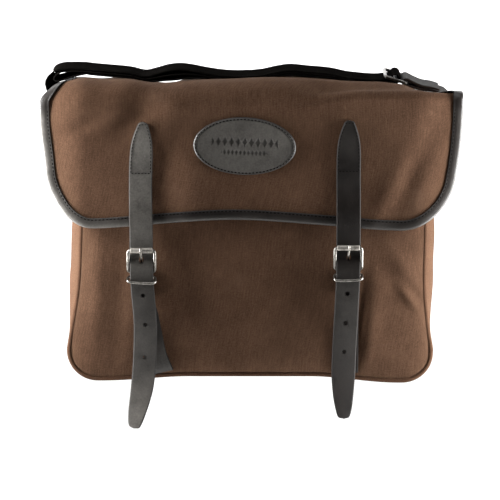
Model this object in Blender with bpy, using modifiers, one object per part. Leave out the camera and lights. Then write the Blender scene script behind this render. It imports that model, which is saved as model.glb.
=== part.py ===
"""A canvas dog training bag with a leather bound flap, two buckled closing straps and a webbing shoulder strap.

Metres, +Z up. The front faces -Y, left and right are as seen from the front, and the origin is the middle of the base.
The bag is an open shell of canvas: a front panel, a back panel and a gusset that runs down one side, under the base
and up the other side, with a piped seam at the front and another at the back. The flap is sewn low on the back panel,
passes over the mouth and hangs down the front.
"""

import math
from collections import namedtuple

import bmesh
import bpy
import numpy as np

# Cloth, leather and webbing, by thickness
CANVAS = 0.0020
BILLET_LEATHER = 0.0026
ANCHOR_LEATHER = 0.0022
BINDING_LEATHER = 0.0013
BADGE_LEATHER = 0.0018
TAB_LEATHER = 0.0024
WEBBING = 0.0015
GAP = 0.0004

# Body of the bag
MOUTH_HEIGHT = 0.250
HALF_DEPTH_BASE = 0.0425
HALF_DEPTH_MOUTH = 0.0370
CORNER_RADIUS = 0.026
PIPING_RADIUS = 0.0025
SEAM_ROLL = 0.005
BELLY = 0.009
GUSSET_BULGE = 0.0085

# Flap
FLAP_STANDOFF = 0.0043
FLAP_CREASE_HEIGHT = 0.2644
FLAP_SEAM_HEIGHT = 0.2260
FLAP_BACK_HALF_WIDTH = 0.1665
FLAP_BACK_ROUND = 0.009
BINDING_WIDTH = 0.0090
BINDING_GAP = 0.0006
EAR_Y = -0.030
EAR_STANDOFF = 0.0014

# Badge
BADGE_CENTRE = (-0.0048, 0.2150)
BADGE_HALF_SIZE = (0.0465, 0.0262)
BADGE_TILT = math.radians(-2.5)
BADGE_GAP = 0.0008

# Closing straps and their buckles
ANCHOR_HALF_WIDTH = 0.0098
PUNCHED_HOLE = 0.0016
WORN_HOLE = 0.0027
FRAME_WIRE = 0.00125
FRAME_HALF_WIDTH = 0.0121
FRAME_CORNER = 0.0012
ROLLER_RADIUS = 0.0024
ROLLER_HALF_LENGTH = 0.0100
PRONG_WIRE = 0.0009
KEEPER_WIRE = 0.0010
KEEPER_HALF_WIDTH = 0.0124
KEEPER_DROP = 0.0072
KEEPER_LEAN = math.radians(2.0)
BAR_STANDOFF = 0.0048
BAR_HEIGHT = 0.1010
ROLLER_RISE = 0.0208
RUNNING_GAP = 0.0003

# Shoulder strap
WEBBING_HALF_WIDTH = 0.019
WEBBING_TOP_Y = 0.014
TAB_HALF_WIDTH = 0.0192
SLIDER_BAR = 0.0015
SLIDER_HALF_WIDTH = 0.0225
SLIDER_MIDDLE = (0.1330, 0.2705)
SLIDER_PITCH = 0.0100

LEFT, RIGHT = -1, 1
SEAM_STEPS = (8, 4, 8)

# Half width of the body at its piped seam, by height
Seam = namedtuple("Seam", "height left right")
SEAM = [
    Seam(-0.010, 0.1655, 0.1660),
    Seam(0.022, 0.1655, 0.1655),
    Seam(0.045, 0.1620, 0.1620),
    Seam(0.075, 0.1570, 0.1590),
    Seam(0.140, 0.1530, 0.1590),
    Seam(0.200, 0.1515, 0.1560),
    Seam(0.255, 0.1500, 0.1540),
]

# Half width of the flap's cloth down its front, by height
FlapSide = namedtuple("FlapSide", "height left right")
FLAP_SIDE = [
    FlapSide(0.140, 0.1760, 0.1765),
    FlapSide(0.165, 0.1785, 0.1805),
    FlapSide(0.187, 0.1825, 0.1845),
    FlapSide(0.205, 0.1845, 0.1872),
    FlapSide(0.230, 0.1875, 0.1895),
    FlapSide(0.265, 0.1895, 0.1908),
]

# Lower edge of the flap's cloth, by place across the bag
FlapEdge = namedtuple("FlapEdge", "across height")
FLAP_EDGE = [
    FlapEdge(-0.190, 0.1422),
    FlapEdge(-0.137, 0.1425),
    FlapEdge(-0.087, 0.1466),
    FlapEdge(-0.050, 0.1500),
    FlapEdge(-0.004, 0.1506),
    FlapEdge(0.025, 0.1490),
    FlapEdge(0.075, 0.1452),
    FlapEdge(0.125, 0.1408),
    FlapEdge(0.146, 0.1400),
    FlapEdge(0.190, 0.1400),
]
FLAP_CORNER = {LEFT: (0.034, 0.044), RIGHT: (0.041, 0.042)}

# Height of the flap's top behind its front crease, by place across the bag
Top = namedtuple("Top", "across height")
TOP = [
    Top(-0.195, 0.2540),
    Top(-0.181, 0.2560),
    Top(-0.174, 0.2595),
    Top(-0.165, 0.2615),
    Top(-0.152, 0.2625),
    Top(-0.137, 0.2612),
    Top(-0.121, 0.2602),
    Top(-0.105, 0.2615),
    Top(-0.090, 0.2578),
    Top(-0.079, 0.2562),
    Top(-0.068, 0.2572),
    Top(-0.057, 0.2595),
    Top(-0.037, 0.2618),
    Top(-0.013, 0.2628),
    Top(0.025, 0.2630),
    Top(0.060, 0.2615),
    Top(0.089, 0.2588),
    Top(0.124, 0.2580),
    Top(0.140, 0.2572),
    Top(0.160, 0.2562),
    Top(0.195, 0.2560),
]

# Soft folds: a ridge where height is above zero, and a valley where it is below
Fold = namedtuple("Fold", "across height lean length width rise")
BODY_FOLDS = [
    Fold(-0.132, 0.075, 0.10, 0.050, 0.010, -0.0030),
    Fold(-0.062, 0.120, -0.25, 0.040, 0.012, -0.0020),
    Fold(0.115, 0.055, 0.12, 0.040, 0.008, -0.0035),
    Fold(0.145, 0.075, -0.70, 0.018, 0.005, 0.0035),
    Fold(0.138, 0.105, -0.60, 0.022, 0.009, -0.0030),
]
FLAP_FOLDS = [
    Fold(-0.055, 0.178, 0.02, 0.034, 0.009, 0.0016),
    Fold(-0.072, 0.243, -1.10, 0.026, 0.010, -0.0020),
    Fold(0.150, 0.200, 0.45, 0.045, 0.012, -0.0030),
    Fold(0.130, 0.178, 0.50, 0.040, 0.010, 0.0018),
]

# Centre line of each closing strap: place across the bag and clearance from the front panel, by height
StrapRow = namedtuple("StrapRow", "height left right standoff")
STRAP = [
    StrapRow(-0.044, -0.1040, 0.0850, 0.0150),
    StrapRow(-0.030, -0.1010, 0.0855, 0.0135),
    StrapRow(-0.012, -0.0975, 0.0850, 0.0120),
    StrapRow(0.008, -0.0955, 0.0850, 0.0112),
    StrapRow(0.028, -0.0950, 0.0857, 0.0108),
    StrapRow(0.055, -0.0952, 0.0870, 0.0105),
    StrapRow(0.085, -0.0975, 0.0885, 0.0103),
    StrapRow(0.099, -0.0983, 0.0890, 0.0102),
    StrapRow(0.106, -0.0985, 0.0892, 0.0098),
    StrapRow(0.114, -0.0986, 0.0893, 0.0083),
    StrapRow(0.122, -0.0986, 0.0893, 0.0078),
    StrapRow(0.158, -0.0990, 0.0893, 0.0077),
    StrapRow(0.168, -0.0991, 0.0893, 0.0062),
    StrapRow(0.190, -0.0990, 0.0892, 0.0060),
    StrapRow(0.238, -0.0966, 0.0900, 0.0060),
]
STRAP_TOP = {LEFT: 0.2365, RIGHT: 0.2380}
STRAP_TIP = {LEFT: -0.0440, RIGHT: -0.0350}
HOLE_HEIGHTS = {LEFT: (0.0798, 0.0529, 0.0224), RIGHT: (0.0817, 0.0545, 0.0276)}
WORN_HOLE_HEIGHT = 0.1092
WORN_HOLE_STRETCH = 1.9

# Half width of a closing strap near its two ends, by distance from the end
StrapEnd = namedtuple("StrapEnd", "distance sewn free")
STRAP_END = [
    StrapEnd(0.000, 0.0028, 0.0030),
    StrapEnd(0.0025, 0.0045, 0.0050),
    StrapEnd(0.006, 0.0060, 0.0065),
    StrapEnd(0.014, 0.0080, 0.0086),
    StrapEnd(0.026, 0.0097, 0.0100),
    StrapEnd(0.042, 0.0105, 0.0105),
]

# Centre line of each anchor strap, from the base seam up to the buckle
AnchorRow = namedtuple("AnchorRow", "height left right standoff")
ANCHOR = [
    AnchorRow(0.0065, -0.0810, 0.0880, 0.0016),
    AnchorRow(0.0200, -0.0860, 0.0882, 0.0016),
    AnchorRow(0.0400, -0.0915, 0.0885, 0.0020),
    AnchorRow(0.0600, -0.0950, 0.0888, 0.0042),
    AnchorRow(0.0740, -0.0968, 0.0890, 0.0066),
    AnchorRow(0.0850, -0.0978, 0.0890, 0.0075),
    AnchorRow(BAR_HEIGHT, -0.0985, 0.0892, 0.0075),
]
ANCHOR_RETURN = 0.022

# Prong's way from the buckle's lower bar through the worn hole, by height above the bar
ProngRow = namedtuple("ProngRow", "rise standoff")
PRONG = [ProngRow(0.0028, 0.0072), ProngRow(0.0052, 0.0078), ProngRow(0.0118, 0.0124)]

# Route of the shoulder strap's centre line, as places across, from front to back and up, chosen by hand: up from the
# left gusset, along the top to the right, back to the left below that, and to the right again as far as the slider
STRAP_TURN = 0.00095
STRAP_RISE = [
    (-0.1626, 0.000, 0.1950),
    (-0.1626, 0.000, 0.2150),
    (-0.1630, 0.000, 0.2330),
    (-0.1690, 0.003, 0.2440),
    (-0.1770, 0.007, 0.2530),
    (-0.1822, 0.009, 0.2620),
    (-0.1808, 0.010, 0.2705),
    (-0.1752, 0.011, 0.2764),
    (-0.1658, 0.012, 0.2785),
    (-0.1500, 0.014, 0.2776),
]
StrapTop = namedtuple("StrapTop", "across height")
STRAP_TOPS = [
    StrapTop(-0.1500, 0.2776),
    StrapTop(-0.1435, 0.2769),
    StrapTop(-0.1295, 0.2756),
    StrapTop(-0.1085, 0.2735),
    StrapTop(-0.0945, 0.2706),
    StrapTop(-0.0854, 0.2727),
    StrapTop(-0.0735, 0.2759),
    StrapTop(-0.0613, 0.2769),
    StrapTop(-0.0539, 0.2759),
    StrapTop(-0.0371, 0.2727),
    StrapTop(-0.0217, 0.2707),
    StrapTop(-0.0049, 0.2702),
    StrapTop(0.0105, 0.2712),
    StrapTop(0.0245, 0.2740),
    StrapTop(0.0340, 0.2755),
    StrapTop(0.0539, 0.2741),
    StrapTop(0.0749, 0.2720),
    StrapTop(0.0900, 0.2694),
    StrapTop(0.1050, 0.2690),
]
STRAP_LEFT_TURN = [
    (-0.1600, 0.013, 0.2766),
    (-0.1690, 0.012, 0.2752),
    (-0.1745, 0.011, 0.2715),
    (-0.1762, 0.011, 0.2678),
    (-0.1745, 0.011, 0.2664),
    (-0.1700, 0.012, 0.2692),
    (-0.1600, 0.013, 0.2734),
]

# The webbing's last stretch to the slider, under its left bar, and its free end, which comes back the same way
SLIDER_ENTRY = [(0.1015, 0.2643), (0.1100, 0.2638), (0.1170, 0.2646), (0.1230, 0.2660)]
FREE_END = [(0.1284, 0.2704), (0.1258, 0.2686), (0.1230, 0.2679), (0.1165, 0.2667), (0.1080, 0.2660), (0.0990, 0.2664)]

# Route of the leather tab's centre line from the right gusset up to the slider's right bar
TAB_ROUTE = [
    (0.1682, 0.000, 0.1850),
    (0.1682, 0.000, 0.2050),
    (0.1686, 0.000, 0.2220),
    (0.1730, 0.001, 0.2350),
    (0.1800, 0.003, 0.2450),
    (0.1825, 0.005, 0.2525),
    (0.1780, 0.008, 0.2590),
    (0.1700, 0.010, 0.2625),
    (0.1600, 0.013, 0.2655),
]


def read_table(rows, key, column, at):
    """Smooth curve through one column of a table: cubic pieces whose slopes are those between the neighbouring rows."""
    keys = np.array([getattr(row, key) for row in rows])
    values = np.array([getattr(row, column) for row in rows])
    slopes = np.gradient(values, keys)
    at = np.clip(np.asarray(at, float), keys[0], keys[-1])
    i = np.clip(np.searchsorted(keys, at) - 1, 0, len(keys) - 2)
    span = keys[i + 1] - keys[i]
    t = (at - keys[i]) / span
    start = (1 + 2 * t) * (1 - t) ** 2 * values[i] + t * (1 - t) ** 2 * span * slopes[i]
    end = t * t * (3 - 2 * t) * values[i + 1] + t * t * (t - 1) * span * slopes[i + 1]
    return start + end


def by_side(rows, key, at, side):
    """A table's left or right column, for arrays where side is -1 on the left and +1 on the right."""
    left = read_table(rows, key, "left", at)
    right = read_table(rows, key, "right", at)
    return np.where(side < 0, left, right)


def ease(low, high, value):
    """0 below low, 1 above high, and a smooth step between them."""
    t = np.clip((value - low) / (high - low), 0.0, 1.0)
    return t * t * (3 - 2 * t)


def fold_rise(folds, x, z):
    """Sum of the soft folds at a place on the front: each is a bell across its width and along its length."""
    total = np.zeros_like(x)
    for fold in folds:
        cos, sin = math.cos(fold.lean), math.sin(fold.lean)
        along = (z - fold.height) * cos + (x - fold.across) * sin
        across = (x - fold.across) * cos - (z - fold.height) * sin
        total = total + fold.rise * np.exp(-((across / fold.width) ** 2) - (along / fold.length) ** 2)
    return total


def seam_half_depth(z):
    """The bag narrows from front to back as it rises."""
    return HALF_DEPTH_BASE + (HALF_DEPTH_MOUTH - HALF_DEPTH_BASE) * np.clip(z / MOUTH_HEIGHT, 0, 1)


def base_line(x):
    """Height of the base seam: level in the middle, with the corners hanging a little lower."""
    droop = np.where(x < 0, 0.004, 0.006)
    return PIPING_RADIUS - droop * ease(0.055, 0.135, np.abs(x))


def front_face(x, z):
    """Y of the front panel's outer face away from its seam: rolled forward of the seam, with a soft belly."""
    belly = BELLY * np.exp(-((x / 0.13) ** 2) - ((z - 0.085) / 0.085) ** 2)
    return -seam_half_depth(z) - SEAM_ROLL - belly


def roll_from_edge(distance):
    """How far the cloth has risen from its seam towards the panel's full face, 0 to 1, at a distance from the seam."""
    return 1 - np.exp(-np.maximum(distance, 0) / 0.009)


def front_skin(x, z):
    """Y of the front panel's outer face in the middle of the bag, down to its base seam."""
    roll = roll_from_edge(z - base_line(x) - PIPING_RADIUS - GAP)
    seam = seam_half_depth(z) + CANVAS / 2
    return -(seam + roll * (-front_face(x, z) - seam))


def seam_path(inset, columns):
    """X and Z along the seam, from the left of the mouth down, along the base and up to the right of the mouth.

    columns gives the number of steps on a side, round a corner and along the base. inset is how far inside the piping
    the path runs."""
    side_steps, corner_steps, base_steps = columns
    radius = CORNER_RADIUS - inset
    points = []
    for side in (LEFT, RIGHT):
        foot = float(by_side(SEAM, "height", CORNER_RADIUS, side)) - inset
        line = float(base_line(np.array(side * foot))) + inset
        heights = np.linspace(MOUTH_HEIGHT, line + radius, side_steps + 1)[:-1]
        wall = [(side * (float(by_side(SEAM, "height", h, side)) - inset), h) for h in heights]
        turn = np.linspace(math.pi / 2, 0, corner_steps + 1)
        arc = [(side * (foot - radius * (1 - math.sin(a))), line + radius * (1 - math.cos(a))) for a in turn]
        points.append(wall + arc)
    left, right = points
    across = np.linspace(left[-1][0], right[-1][0], base_steps + 1)[1:-1]
    base = [(x, float(base_line(np.array(x))) + inset) for x in across]
    return np.array(left + base + right[::-1])


def path_normals(path):
    """Unit vectors at right angles to a path in the X Z plane, to the right of its direction."""
    tangent = np.gradient(path, axis=0)
    tangent /= np.linalg.norm(tangent, axis=1)[:, None]
    return np.stack([tangent[:, 1], -tangent[:, 0]], axis=1)


def resample(points, step):
    """A smooth curve through hand chosen points, as evenly spaced points about one step apart."""
    points = np.array(points, float)
    padded = np.vstack([2 * points[0] - points[1], points, 2 * points[-1] - points[-2]])
    fine = []
    for a, b, c, d in zip(padded, padded[1:], padded[2:], padded[3:]):
        t = np.linspace(0, 1, 12, endpoint=False)[:, None]
        fine.append(b + 0.5 * t * ((c - a) + t * (2 * a - 5 * b + 4 * c - d + t * (3 * (b - c) + d - a))))
    fine = np.vstack([*fine, points[-1:]])
    length = np.concatenate([[0], np.cumsum(np.linalg.norm(np.diff(fine, axis=0), axis=1))])
    even = np.linspace(0, length[-1], max(2, round(length[-1] / step)) + 1)
    return np.stack([np.interp(even, length, fine[:, k]) for k in range(points.shape[1])], axis=1)


def material(name, colour, roughness, metallic=0.0):
    made = bpy.data.materials.new(name)
    made.use_nodes = True
    shader = made.node_tree.nodes["Principled BSDF"]
    shader.inputs["Base Color"].default_value = (*colour, 1.0)
    shader.inputs["Roughness"].default_value = roughness
    shader.inputs["Metallic"].default_value = metallic
    return made


def add_object(name, data, finish, collection):
    made = bpy.data.objects.new(name, data)
    collection.objects.link(made)
    data.materials.append(finish)
    return made


def solidify(obj, thickness, offset):
    """Gives an open sheet its thickness: offset -1 puts it behind the sheet, 0 on both sides and 1 in front."""
    wall = obj.modifiers.new("Wall", "SOLIDIFY")
    wall.thickness = thickness
    wall.offset = offset
    wall.use_even_offset = True
    wall.use_quality_normals = True
    return wall


def combine(obj, other, name, operation):
    """Cuts another object out of one, or joins it on, and puts the other among the guides that aren't rendered."""
    other.name = name
    other.hide_render = True
    other.display_type = "WIRE"
    for holder in list(other.users_collection):
        holder.objects.unlink(other)
    bpy.data.collections["cutters"].objects.link(other)
    cut = obj.modifiers.new(name, "BOOLEAN")
    cut.operation = operation
    cut.object = other


def sheet(name, place, cells, thickness, offset, finish, collection):
    """A grid of cells across and along, each corner put where place(u, v) says, and given a wall thickness."""
    mesh = bpy.data.meshes.new(name)
    grid = bmesh.new()
    bmesh.ops.create_grid(grid, x_segments=cells[0], y_segments=cells[1], size=0.5)
    corners = np.array([corner.co for corner in grid.verts])
    placed = place(corners[:, 0] + 0.5, corners[:, 1] + 0.5)
    for corner, spot in zip(grid.verts, placed):
        corner.co = spot
    grid.to_mesh(mesh)
    grid.free()
    mesh.shade_smooth()
    made = add_object(name, mesh, finish, collection)
    solidify(made, thickness, offset)
    return made


def rod(name, points, radius, finish, collection, closed=False, resolution=2):
    """A round bar along a list of points, with closed ends, or a closed loop of it."""
    curve = bpy.data.curves.new(name, "CURVE")
    curve.dimensions = "3D"
    curve.bevel_depth = radius
    curve.bevel_resolution = resolution
    curve.use_fill_caps = not closed
    spline = curve.splines.new("POLY")
    spline.points.add(len(points) - 1)
    for point, spot in zip(spline.points, points):
        point.co = (*spot, 1.0)
    spline.use_cyclic_u = closed
    return add_object(name, curve, finish, collection)


def grid_rows(path, v):
    """For grid corners with v from 0 to 1 along a path, the whole number of each corner's row."""
    return np.rint(v * (len(path) - 1)).astype(int)


def panel_place(path_columns, outward):
    """Places a panel's grid: its columns start along the base seam and rise to the mouth.

    outward is -1 for the front panel and +1 for the back."""
    inset = PIPING_RADIUS + GAP
    foot = seam_path(inset, (0, *path_columns))

    def place(u, v):
        column = grid_rows(foot, u if outward < 0 else 1 - u)
        foot_x, foot_z = foot[column, 0], foot[column, 1]
        side = np.sign(foot_x)
        z = foot_z + (MOUTH_HEIGHT - foot_z) * v
        foot_half = by_side(SEAM, "height", CORNER_RADIUS, side) - inset
        half = by_side(SEAM, "height", np.maximum(z, CORNER_RADIUS), side) - inset
        x = foot_x / foot_half * half
        from_side = np.maximum(half - np.abs(x), 0)
        from_base = np.maximum(z - foot_z, 0) + 1e-6
        edge = 1 / np.sqrt(1 / (from_side + 1e-6) ** 2 + 1 / from_base**2)
        roll = roll_from_edge(edge)
        if outward < 0:
            full = -front_face(x, z) - seam_half_depth(z) + fold_rise(BODY_FOLDS, x, z)
        else:
            full = 0.6 * SEAM_ROLL + 0 * x
        y = outward * (seam_half_depth(z) + CANVAS / 2 + roll * (full - CANVAS / 2))
        return np.stack([x, y, z], axis=1)

    return place


def gusset_place(path):
    """Places the gusset's grid: along the seam path, and from the back seam to the front one.

    The sides bow outward between the seams, and the base is flat."""
    normals = path_normals(path)

    def place(u, v):
        row = grid_rows(path, u)
        x, z = path[row, 0], path[row, 1]
        reach = seam_half_depth(z) - PIPING_RADIUS - GAP
        y = reach * (1 - 2 * v)
        bow = GUSSET_BULGE * (1 - np.abs(2 * v - 1) ** 3) * ease(0.020, 0.090, z)
        out = CANVAS / 2 + 0.0002 + bow
        return np.stack([x + normals[row, 0] * out, y, z + normals[row, 1] * out], axis=1)

    return place


def flap_column(u):
    """For a place across the flap, 0 to 1: the side, how far out it is, and the height of the flap's lower edge.

    The outer two fifths of the columns on each side run round the flap's lower corner."""
    corner_share = 0.4
    c = 2 * u - 1
    side = np.where(c < 0, LEFT, RIGHT)
    half = by_side(FLAP_SIDE, "height", 0.16, side)
    round_x = np.where(side < 0, FLAP_CORNER[LEFT][0], FLAP_CORNER[RIGHT][0])
    round_z = np.where(side < 0, FLAP_CORNER[LEFT][1], FLAP_CORNER[RIGHT][1])
    turn = np.clip((np.abs(c) - (1 - corner_share)) / corner_share, 0, 1) * math.pi / 2
    straight = np.minimum(np.abs(c) / (1 - corner_share), 1) * (half - round_x)
    x = side * (straight + round_x * np.sin(turn))
    z = read_table(FLAP_EDGE, "across", "height", x) + round_z * (1 - np.cos(turn))
    return side, x / half, z


def crease_height(x):
    """Height of the flap's front crease: its left ear hangs lower than its right."""
    droop = np.where(x < 0, 0.0075, 0.0010)
    return FLAP_CREASE_HEIGHT - droop * ease(0.140, 0.190, np.abs(x))


def flap_front_y(x, z):
    """Y of the flap's outer face down the front: it follows the body, and its ears curl back."""
    curl = 0.009 * ease(0.150, 0.196, np.abs(x))
    return front_face(x, z) - FLAP_STANDOFF + curl - fold_rise(FLAP_FOLDS, x, z)


# Rows of cells along the flap, from its lower edge in front: down the front, round the crease, along the top, round
# the back edge and down to the seam on the back panel
FLAP_ROWS = (11, 3, 6, 3, 2)


def flap_place(u, v):
    """Places the flap's grid: v runs from the lower edge up the front, over the top and down to the back seam."""
    side, unit, low = flap_column(u)
    marks = np.concatenate([[0], np.cumsum(FLAP_ROWS)]) / sum(FLAP_ROWS)
    front, crease, top, back_turn, back = [np.clip((v - a) / (b - a), 0, 1) for a, b in zip(marks, marks[1:])]
    top = top**1.35
    front_round = 0.008 + 0.007 * ease(-0.02, 0.08, -unit * 0.16)
    turn_z = crease_height(unit * 0.190) - front_round
    # Half width: the flap's own sides in front, drawn in over the top to its width at the back
    half = by_side(FLAP_SIDE, "height", low + (turn_z - low) * front, side)
    half = FLAP_BACK_HALF_WIDTH + (half - FLAP_BACK_HALF_WIDTH) * np.exp(-((5.2 * top) ** 1.4))
    x = unit * half
    # Down the front, and round the front crease
    z_front = low + (turn_z - low) * front
    y_turn = flap_front_y(x, turn_z)
    a = crease * math.pi / 2
    y_crease = y_turn + front_round * (1 - np.cos(a))
    z_crease = turn_z + front_round * np.sin(a)
    # Along the top, round the back edge, and down to the seam
    y_back = seam_half_depth(FLAP_SEAM_HEIGHT) + 0.6 * SEAM_ROLL + GAP + CANVAS
    end_y = y_back - FLAP_BACK_ROUND
    y_top = y_turn + front_round + (end_y - y_turn - front_round) * top
    level = read_table(TOP, "across", "height", x)
    z_top = turn_z + front_round + (level - turn_z - front_round) * ease(0.0, 0.55, top)
    b = back_turn * math.pi / 2
    y_rear = end_y + FLAP_BACK_ROUND * np.sin(b)
    z_rear = level - FLAP_BACK_ROUND * (1 - np.cos(b))
    z_back = level - FLAP_BACK_ROUND + (FLAP_SEAM_HEIGHT - level + FLAP_BACK_ROUND) * back
    y, z = flap_front_y(x, z_front), z_front
    later = [(y_crease, z_crease), (y_top, z_top), (y_rear, z_rear), (y_back + 0 * x, z_back)]
    for mark, (later_y, later_z) in zip(marks[1:], later):
        y = np.where(v > mark + 1e-6, later_y, y)
        z = np.where(v > mark + 1e-6, later_z, z)
    return np.stack([x, y, z], axis=1)


FLAP_COLUMNS = 20
RIM_SMOOTHING = 2


def flap_rim():
    """Points along the middle of the flap's free edge: down the left side from the back seam, along the lower edge
    and up the right side. With each go the edge's outward direction in the cloth, and the cloth's normal."""
    rows, columns = sum(FLAP_ROWS), FLAP_COLUMNS
    v, u = np.meshgrid(np.linspace(0, 1, rows + 1), np.linspace(0, 1, columns + 1), indexing="ij")
    grid = flap_place(u.ravel(), v.ravel()).reshape(rows + 1, columns + 1, 3)
    normals = np.cross(np.gradient(grid, axis=1), np.gradient(grid, axis=0))
    rim = [np.concatenate([a[::-1, 0], a[0, 1:-1], a[:, -1]]) for a in (grid, normals)]
    points, normal = rim
    normal /= np.linalg.norm(normal, axis=1)[:, None]
    points = points - normal * CANVAS / 2
    tangent = np.gradient(points, axis=0)
    tangent /= np.linalg.norm(tangent, axis=1)[:, None]
    outward = np.cross(tangent, normal)
    for _ in range(RIM_SMOOTHING):
        outward[1:-1] = (outward[:-2] + 2 * outward[1:-1] + outward[2:]) / 4
        normal[1:-1] = (normal[:-2] + 2 * normal[1:-1] + normal[2:]) / 4
    outward /= np.linalg.norm(outward, axis=1)[:, None]
    normal -= outward * np.sum(normal * outward, axis=1)[:, None]
    return points, outward, normal / np.linalg.norm(normal, axis=1)[:, None]


def binding_place(u, v):
    """Places the binding's grid: along the flap's edge, and folded round it from the back leg to the front leg."""
    points, outward, normal = flap_rim()
    row = grid_rows(points, u)
    half_wrap = CANVAS / 2 + BINDING_GAP
    leg = BINDING_WIDTH - half_wrap
    section = np.array([(-leg, -1), (0, -1), (half_wrap, -0.45), (half_wrap, 0.45), (0, 1), (-leg, 1)])
    k = grid_rows(section, v)
    place = points[row] + outward[row] * (section[k, 0] + GAP)[:, None]
    # The stiff binding stands off a little where it turns over the flap's two ears
    x, y, z = points[row].T
    ear = EAR_STANDOFF * np.exp(-(((y - EAR_Y) / 0.010) ** 2)) * ease(0.240, 0.250, z) * (np.abs(x) > 0.15)
    return place + normal[row] * (section[k, 1] * (half_wrap + ear))[:, None]


def badge_place(u, v):
    """Places the badge's grid: a square of cells drawn into an ellipse that lies on the flap."""
    s, t = 2 * u - 1, 2 * v - 1
    round_s, round_t = s * np.sqrt(1 - t * t / 2), t * np.sqrt(1 - s * s / 2)
    dx, dz = BADGE_HALF_SIZE[0] * round_s, BADGE_HALF_SIZE[1] * round_t
    x = BADGE_CENTRE[0] + dx * math.cos(BADGE_TILT) - dz * math.sin(BADGE_TILT)
    z = BADGE_CENTRE[1] + dx * math.sin(BADGE_TILT) + dz * math.cos(BADGE_TILT)
    return np.stack([x, flap_front_y(x, z) - BADGE_GAP, z], axis=1)


def side_name(side):
    return "left" if side == LEFT else "right"


def strap_centre(rows, side, z):
    """Centre line of a closing strap or an anchor strap at some heights."""
    x = read_table(rows, "height", side_name(side), z)
    y = front_face(x, z) - read_table(rows, "height", "standoff", z)
    return np.stack([x, y, z], axis=1)


def closing_strap(side, finish, collection):
    """One leather strap, sewn to the flap, through the buckle and hanging free, with its punched holes."""
    top, tip = STRAP_TOP[side], STRAP_TIP[side]
    heights = np.unique(np.concatenate([
        tip + np.array([0, 0.0025, 0.006, 0.014, 0.026, 0.042]),
        np.linspace(tip + 0.056, 0.092, 6),
        np.linspace(0.099, 0.124, 5),
        np.linspace(0.140, top - 0.050, 4),
        top - np.array([0, 0.0025, 0.006, 0.014, 0.026, 0.042]),
    ]))
    centre = strap_centre(STRAP, side, heights)
    half = np.minimum(
        read_table(STRAP_END, "distance", "sewn", top - heights),
        read_table(STRAP_END, "distance", "free", heights - tip),
    )

    def place(u, v):
        row = grid_rows(centre, v)
        spot = centre[row].copy()
        spot[:, 0] += (2 * u - 1) * half[row]
        return spot

    name = side_name(side) + "_closing_strap"
    strap = sheet(name, place, (2, len(heights) - 1), BILLET_LEATHER, 0, finish, collection)
    for z in HOLE_HEIGHTS[side]:
        punch(strap, strap_centre(STRAP, side, np.array([z]))[0], PUNCHED_HOLE, 1.0)
    punch(strap, strap_centre(STRAP, side, np.array([WORN_HOLE_HEIGHT]))[0], WORN_HOLE, WORN_HOLE_STRETCH)


def punch(strap, spot, radius, stretch):
    """Cuts a hole straight through a strap from front to back, round or stretched along the strap."""
    bpy.ops.mesh.primitive_cylinder_add(
        vertices=10, radius=radius, depth=0.012, location=spot, rotation=(math.pi / 2, 0, 0), scale=(1, stretch, 1)
    )
    combine(strap, bpy.context.object, f"punch_{strap.name}_{len(strap.modifiers)}", "DIFFERENCE")


def buckle_middle(side):
    """Centre of the buckle's lower bar, which the anchor strap is folded round."""
    x = float(read_table(ANCHOR, "height", side_name(side), BAR_HEIGHT))
    y = float(front_face(np.array(x), np.array(BAR_HEIGHT))) - BAR_STANDOFF
    return np.array([x, y, BAR_HEIGHT])


def anchor_strap(side, finish, collection):
    """The strap sewn into the base seam: up the front panel, over the buckle's lower bar and down behind itself."""
    bar = buckle_middle(side)
    bend = ANCHOR[-1].standoff - BAR_STANDOFF
    heights = np.concatenate([np.linspace(ANCHOR[0].height, 0.086, 8), [BAR_HEIGHT - 0.005]])
    rising = strap_centre(ANCHOR, side, heights)
    rising[:, 1] += front_skin(rising[:, 0], heights) - front_face(rising[:, 0], heights)
    turn = np.linspace(0, math.pi, 9)
    over = [(bar[0], bar[1] - bend * math.cos(a), bar[2] + bend * math.sin(a)) for a in turn]
    down = np.linspace(BAR_HEIGHT, BAR_HEIGHT - ANCHOR_RETURN, 4)[1:]
    x_down = read_table(ANCHOR, "height", side_name(side), down)
    y_down = front_face(x_down, down) - (2 * BAR_STANDOFF - ANCHOR[-1].standoff)
    path = np.vstack([rising, over, np.stack([x_down, y_down, down], axis=1)])

    def place(u, v):
        spot = path[grid_rows(path, v)].copy()
        spot[:, 0] += (2 * u - 1) * ANCHOR_HALF_WIDTH
        return spot

    name = side_name(side) + "_anchor_strap"
    strap = sheet(name, place, (1, len(path) - 1), ANCHOR_LEATHER, 0, finish, collection)
    bpy.ops.mesh.primitive_cube_add(size=1, location=(bar[0], bar[1], bar[2] + 0.0005))
    bpy.context.object.scale = (0.0040, 0.0120, 0.0120)
    combine(strap, bpy.context.object, f"slot_{name}", "DIFFERENCE")


def rounded_loop(half_x, half_y, radius, steps=3):
    """Points round a rectangle with rounded corners, centred on the origin."""
    points = []
    for quarter, (sx, sy) in enumerate([(1, 1), (-1, 1), (-1, -1), (1, -1)]):
        for a in np.linspace(0, math.pi / 2, steps + 1) + quarter * math.pi / 2:
            points.append((sx * (half_x - radius) + radius * math.cos(a), sy * (half_y - radius) + radius * math.sin(a)))
    return points


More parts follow.
